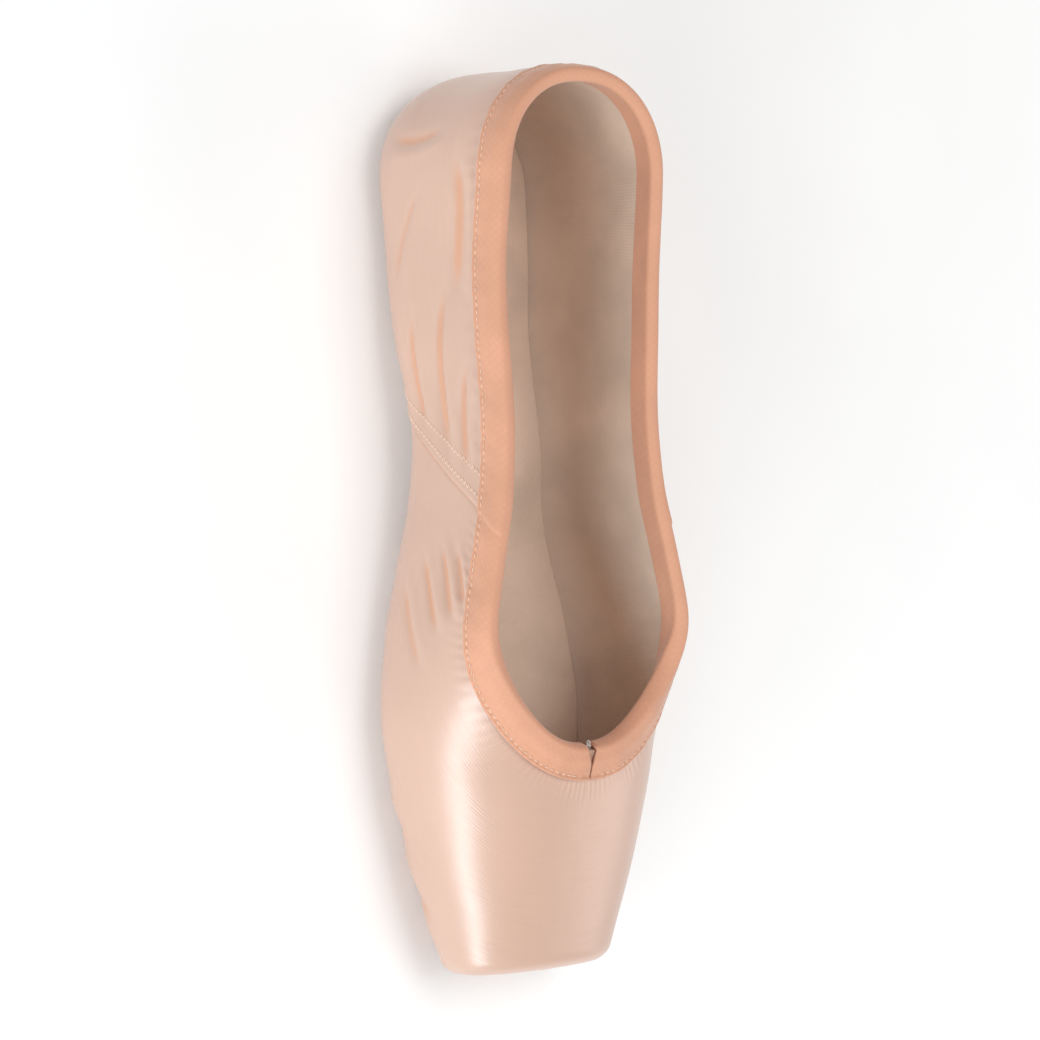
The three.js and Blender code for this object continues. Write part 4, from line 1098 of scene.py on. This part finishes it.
def insole_rings(last, ribs):
    """The sock on its board: flat below, a softly rounded edge, and a top slightly crowned by a
    product of two cosines."""
    inside = ribs.skin - last.normal(ribs.skin) * last.wall(ribs.skin)[..., None]

    def floor(s):
        return last.bottom(s) + last.margin_wall + last.clearance

    def edge_at(height, inset):
        over = inside[..., 2] - floor(inside[..., 1]) - height
        k = np.argmax(over > 0, axis=1)
        rows = np.arange(len(k))
        t = over[rows, k - 1] / (over[rows, k - 1] - over[rows, k])
        edge = mix(inside[rows, k - 1, :2], inside[rows, k, :2], t[:, None])
        edge[:, 0] = np.maximum(0.0, edge[:, 0] - inset * np.sin(ribs.turn))
        edge[:, 1] -= inset * np.cos(ribs.turn) * ribs.forward
        return edge

    below = edge_at(0.0, last.insole_inset + 1.4)
    above = edge_at(last.insole_thickness, last.insole_inset)
    middle = 0.5 * (below + above)
    spine = np.where(np.isclose(ribs.turn, 0.5 * np.pi), middle[:, 1], ribs.spine)
    edges = [below] * 3 + [middle] + [above] * 9
    shares = np.array([0.0, 0.5, 1.0, 1.0, 0.995, 0.985, 0.965, 0.93, 0.86, 0.7, 0.5, 0.25, 0.0])
    x, s = plate_plan(spine, edges, shares)
    level = 0.93 + 0.07 * np.cos(0.05 * x) * np.cos(0.02 * (s - 100))
    level[:, :6] = (0.0, 0.0, 0.0, 0.35, 0.72, 0.88)
    points = around(np.stack([x, s, floor(s) + last.insole_thickness * level], axis=-1))
    # Painted shade along the sock's edge, where it meets the lining
    rim = np.zeros(points.shape[:2])
    rim[:, 3:6] = 0.5
    return points, {"cloth": cloth_map(points, points[..., 0], points[..., 1]), "fold": rim}


def tubes(paths, normals, radius, sides=6, twist=0.0, plies=0.0):
    """Closed round threads along many paths at once, and millimetres along and round them. A ring
    stands square to its path, its radius swells three times round by the plies, which wind with the
    twist, and the end rings have no width."""
    way = unit(np.gradient(paths, axis=1))
    across = unit(np.cross(way, normals))
    up = np.cross(across, way)
    share = np.linspace(-1, 1, paths.shape[1])[:, None]
    angle = np.linspace(0, 2 * np.pi, sides, endpoint=False) + 0.5 * twist * (share + 1)
    width = radius * np.sqrt(np.maximum(0.0, 1 - np.abs(share) ** 6))
    width = width * (1 + plies * np.cos(3 * angle - 2 * twist * share))
    cos, sin = (width * np.cos(angle))[..., None], (width * np.sin(angle))[..., None]
    points = paths[:, :, None] + across[:, :, None] * cos + up[:, :, None] * sin
    return points, {"cloth": cloth_map(points, 6 * share, angle)}


def stitches(start, end, normal, lift):
    """Threads from each start to each end: the ends dip into the cloth, and powers of a half sine
    stand the middle off it by the lift."""
    t = np.linspace(0, 1, THREAD_POINTS)[None, :, None]
    rise = np.sin(np.pi * t)
    arch = lift * rise ** 0.6 - THREAD_SINK * (1 - rise ** 0.4)
    paths = mix(start[:, None], end[:, None], t) + normal[:, None] * arch
    return tubes(paths, normal[:, None], THREAD_RADIUS)


def side_seam_stitches(folds):
    """Where the small zigzag stitches of both side seams start and end and the way out there: two
    rows down each quarter's lap, from the binding nearly to the sole."""
    last = folds.last
    parts = []
    for behind in SEAM_ROWS:
        row = last.seam_foot - behind
        pair = Ribs.at(last, row + np.array([SEAM_HALF, -SEAM_HALF]))
        slant = Ribs.at(last, row + np.linspace(-1, 1, 5)).collar()[3][2]
        under = last.binding_depth / slant
        depth = under + SEAM_TOP + np.arange(0, pair.run[:, -1].min() - under - SEAM_FOOT, SEAM_PITCH)
        skin, down = pair.sample(pair.run, pair.run[:, -1:] - depth)
        normal = last.normal(skin)
        spine = np.broadcast_to(pair.spine[:, None], down.shape)
        k = np.arange(len(depth) - 1)
        for side in (1, -1):
            mirror = np.array([side, 1, 1])
            p, n = skin * mirror, normal * mirror
            height = folds.relief(p, down, spine, 0 * down, np.full(down.shape, side))[0]
            p = p + n * height[..., None]
            parts.append((p[k % 2, k], p[(k + 1) % 2, k + 1], n[k % 2, k]))
    return [np.concatenate(part) for part in zip(*parts)]


def binding_stitches(folds, ribs):
    """Where the running stitches in the pressed line near the tape's lower edge start and end, and
    the way out there."""
    points, _ = tape_rings(folds, ribs)
    column = np.argmin(np.abs(TAPE_OUTSIDE * folds.last.binding_depth - STITCH_LINE))
    line, inner = points[6:-6, column], points[6:-6, -1 - column]
    run = run_along(line)
    at = np.arange(0.6, run[-1] - 1.6, STITCH_PITCH)

    def on(where, values):
        return np.stack([np.interp(where, run, axis) for axis in values.T], axis=-1)

    return on(at, line), on(at + STITCH_LENGTH, line), on(at + 0.6, unit(line - inner))


def knot_path(centre):
    """A trefoil, (sin t + 2 sin 2t, cos t - 2 cos 2t, -1.2 sin 3t) made small, and two short ends."""
    t = np.linspace(0.12, 2 * np.pi - 0.12, 150)
    knot = np.stack([np.sin(t) + 2 * np.sin(2 * t), np.cos(t) - 2 * np.cos(2 * t), -1.2 * np.sin(3 * t)],
                    axis=-1) / 3.4 * (0.72, 0.95, 0.55)
    end = np.linspace(0, 1, 8)[1:, None]
    return np.concatenate([knot[0] + end[::-1] * (-0.25, 1.0, -0.9), knot,
                           knot[-1] + end * (0.25, 1.0, -0.9)]) + centre


class PointeShoeOperator:
    """What the shoe's operators share."""

    bl_options = {"REGISTER", "UNDO"}

    @property
    def last(self):
        """The last, worked out from the scene's sizes."""
        return Last(bpy.context.scene.pointe_shoe_sizes)

    @property
    def colours(self):
        """The scene's colours of the shoe."""
        return bpy.context.scene.pointe_shoe_colours


class POINTE_SHOE_OT_upper(PointeShoeOperator, bpy.types.Operator):
    """Build the satin layer with its creases, pleats and seams, and the lining inside it"""

    bl_idname = "pointe_shoe.upper"
    bl_label = "Upper and Lining"

    def execute(self, context):
        points, fields = skin_rings(Folds(self.last), Ribs.whole(self.last, SATIN_RIBS))
        satin = satin_material(self.colours)
        make_piece("upper_satin", points, (True, True), satin, ["upper"], fields, weld=False)
        points, fields = lining_rings(Ribs.whole(self.last, LINING_RIBS))
        cotton = cotton_material(self.colours)
        make_piece("upper_lining", points, (True, True), cotton, ["upper"], fields,
                   weld=False)
        return {"FINISHED"}


class POINTE_SHOE_OT_binding(PointeShoeOperator, bpy.types.Operator):
    """Build the folded tape over the collar edge"""

    bl_idname = "pointe_shoe.binding"
    bl_label = "Binding"

    def execute(self, context):
        points, fields = tape_rings(Folds(self.last), Ribs.whole(self.last, SATIN_RIBS))
        tape = tape_material(self.colours)
        make_piece("binding_tape", points, (False, True), tape, ["binding"], fields)
        return {"FINISHED"}


class POINTE_SHOE_OT_outsole(PointeShoeOperator, bpy.types.Operator):
    """Build the leather outsole with its cut edge and pressed scales"""

    bl_idname = "pointe_shoe.outsole"
    bl_label = "Outsole"

    def execute(self, context):
        points, fields = outsole_rings(self.last, Ribs.whole(self.last, OUTSOLE_RIBS))
        leather = sole_material(self.colours)
        make_piece("outsole_leather", points, (True, False), leather, ["outsole"], fields)
        return {"FINISHED"}


class POINTE_SHOE_OT_insole(PointeShoeOperator, bpy.types.Operator):
    """Build the sock that lies on the lasting margin"""

    bl_idname = "pointe_shoe.insole"
    bl_label = "Insole"

    def execute(self, context):
        points, fields = insole_rings(self.last, Ribs.whole(self.last, INSOLE_RIBS))
        cotton = cotton_material(self.colours)
        make_piece("insole_sock", points, (True, False), cotton, ["insole"], fields)
        return {"FINISHED"}


class POINTE_SHOE_OT_drawstring(PointeShoeOperator, bpy.types.Operator):
    """Build the drawstring's small knot at the throat, of twisted cord with two short ends"""

    bl_idname = "pointe_shoe.drawstring"
    bl_label = "Drawstring"

    CORD_SHARE = 0.62  # the cord is drawn tight in the knot
    AWAY = (0.05, 0.1, 1.0)

    def execute(self, context):
        low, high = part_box("drawstring")
        centre = 0.5 * (low + high) / MM
        path = knot_path(np.array([0.0, 0.5 * LENGTH - centre.y, centre.z]))
        radius = 0.5 * self.last.cord_thickness * self.CORD_SHARE
        points, fields = tubes(path[None], self.AWAY, radius, sides=18, twist=44.0, plies=0.14)
        cord = thread_material("cord", self.colours.cord)
        make_piece("drawstring_knot", points, (False, True), cord, ["drawstring"], fields)
        return {"FINISHED"}


class POINTE_SHOE_OT_stitches(PointeShoeOperator, bpy.types.Operator):
    """Build the stitches of the side seams and of the binding"""

    bl_idname = "pointe_shoe.stitches"
    bl_label = "Stitches"

    def execute(self, context):
        folds = Folds(self.last)
        thread = thread_material("thread", self.colours.thread)
        points, fields = stitches(*side_seam_stitches(folds), SEAM_LIFT)
        make_piece("seam_stitches", points, (False, True), thread, ["upper"], fields)
        row = binding_stitches(folds, Ribs.whole(self.last, SATIN_RIBS))
        points, fields = stitches(*row, BINDING_LIFT)
        make_piece("binding_stitches", points, (False, True), thread, ["binding"], fields)
        return {"FINISHED"}


class POINTE_SHOE_OT_stage(PointeShoeOperator, bpy.types.Operator):
    """Add a plain pale floor, soft lights and the camera"""

    bl_idname = "pointe_shoe.stage"
    bl_label = "Stage"

    FLOOR_REACH = 4.0
    WORLD_COLOUR = (1.0, 0.985, 0.97, 1.0)
    WORLD_STRENGTH = 0.41
    AIM = Vector((0, 0, 0.02))
    LIGHTS = [
        # name, place and size in metres, power in watts, colour
        ("key", (-0.98, -0.80, 0.38), (1.3, 0.52), 14.5, (0.85, 0.95, 1.0)),
        ("top", (0.0, 0.30, 1.5), (0.9, 0.9), 9.3, (1.0, 1.0, 1.0)),
        ("fill", (1.2, -0.5, 0.65), (0.9, 0.9), 4, (1.0, 0.98, 0.96)),
    ]
    CAMERA_TARGET = Vector((0, 0, 0.024))
    CAMERA_LEAN = math.radians(40)
    CAMERA_ROLL = math.radians(-3.0)
    CAMERA_DISTANCE = 1.06
    CAMERA_LENS = 140

    def add(self, name, data):
        """A new object in the scene."""
        made = bpy.data.objects.new(name, data)
        bpy.context.scene.collection.objects.link(made)
        return made

    def floor(self):
        """A wide pale floor with a hardly visible grain."""
        look = Shader("floor", Specular_IOR_Level=0.2, Emission_Color=(1.0, 1.0, 1.0, 1.0),
                      Emission_Strength=0.08)
        grain = look.noise((14, 14, 14), 3.0)
        colour = look.layers((0.92, 0.92, 0.92), [((0.95, 0.95, 0.945), grain, 0.2, 0.8, 1.0)])
        mesh = bpy.data.meshes.new("floor")
        r = self.FLOOR_REACH
        mesh.from_pydata([(-r, -r, 0), (r, -r, 0), (r, r, 0), (-r, r, 0)], [], [(0, 1, 2, 3)])
        mesh.materials.append(look.finish(colour, look.between(grain, 0.2, 0.8, 0.85, 0.92),
                                          [(grain, 0.0002, 0.1)]))
        floor = self.add("floor", mesh)

    def lights(self):
        """The studio's even light, and soft square lights that face the shoe."""
        world = bpy.data.worlds.new("studio")
        world.use_nodes = True
        background = world.node_tree.nodes["Background"]
        background.inputs[0].default_value = self.WORLD_COLOUR
        background.inputs[1].default_value = self.WORLD_STRENGTH
        bpy.context.scene.world = world
        for name, place, size, power, colour in self.LIGHTS:
            data = bpy.data.lights.new(name, "AREA")
            data.shape = "RECTANGLE"
            data.size, data.size_y = size
            data.energy = power
            data.color = colour
            light = self.add(name, data)
            light.location = place
            light.rotation_mode = "QUATERNION"
            light.rotation_quaternion = (self.AIM - Vector(place)).to_track_quat("-Z", "Y")

    def camera(self):
        """The camera leans from straight above towards -X and is rolled a little."""
        data = bpy.data.cameras.new("camera")
        data.lens = self.CAMERA_LENS
        camera = self.add("camera", data)
        lean, roll = self.CAMERA_LEAN, self.CAMERA_ROLL
        back = Vector((-math.sin(lean), 0, math.cos(lean)))
        right = Vector((math.cos(lean), 0, math.sin(lean)))
        up = Vector((0, 1, 0))
        turned_right = right * math.cos(roll) + up * math.sin(roll)
        turned_up = up * math.cos(roll) - right * math.sin(roll)
        axes = Matrix((turned_right, turned_up, back)).transposed()
        place = self.CAMERA_TARGET + back * self.CAMERA_DISTANCE
        camera.matrix_world = Matrix.Translation(place) @ axes.to_4x4()
        bpy.context.scene.camera = camera

    def execute(self, context):
        self.floor()
        self.lights()
        bpy.context.scene.view_settings.view_transform = "Standard"
        self.camera()
        return {"FINISHED"}


class VIEW3D_PT_pointe_shoe(bpy.types.Panel):
    """The shoe's sizes, colours and steps in the sidebar"""

    bl_label = "Pointe Shoe"
    bl_space_type = "VIEW_3D"
    bl_region_type = "UI"
    bl_category = "Pointe Shoe"

    def draw(self, context):
        for settings in (context.scene.pointe_shoe_sizes, context.scene.pointe_shoe_colours):
            box = self.layout.box()
            for name in settings.__annotations__:
                box.prop(settings, name)
        for step in STEPS:
            self.layout.operator(step.bl_idname)


STEPS = (
    POINTE_SHOE_OT_upper,
    POINTE_SHOE_OT_binding,
    POINTE_SHOE_OT_outsole,
    POINTE_SHOE_OT_insole,
    POINTE_SHOE_OT_drawstring,
    POINTE_SHOE_OT_stitches,
    POINTE_SHOE_OT_stage,
)
CLASSES = (PointeShoeSizes, PointeShoeColours, *STEPS, VIEW3D_PT_pointe_shoe)


def register():
    """Adds the settings, operators and panel."""
    for made in CLASSES:
        bpy.utils.register_class(made)
    bpy.types.Scene.pointe_shoe_sizes = bpy.props.PointerProperty(type=PointeShoeSizes)
    bpy.types.Scene.pointe_shoe_colours = bpy.props.PointerProperty(type=PointeShoeColours)


def unregister():
    """Takes them away again."""
    del bpy.types.Scene.pointe_shoe_colours
    del bpy.types.Scene.pointe_shoe_sizes
    for made in reversed(CLASSES):
        bpy.utils.unregister_class(made)


def main():
    """Builds the whole shoe and its stage."""
    register()
    bpy.ops.pointe_shoe.upper()
    bpy.ops.pointe_shoe.binding()
    bpy.ops.pointe_shoe.outsole()
    bpy.ops.pointe_shoe.insole()
    bpy.ops.pointe_shoe.drawstring()
    bpy.ops.pointe_shoe.stitches()
    bpy.ops.pointe_shoe.stage()


if __name__ == "__main__":
    main()
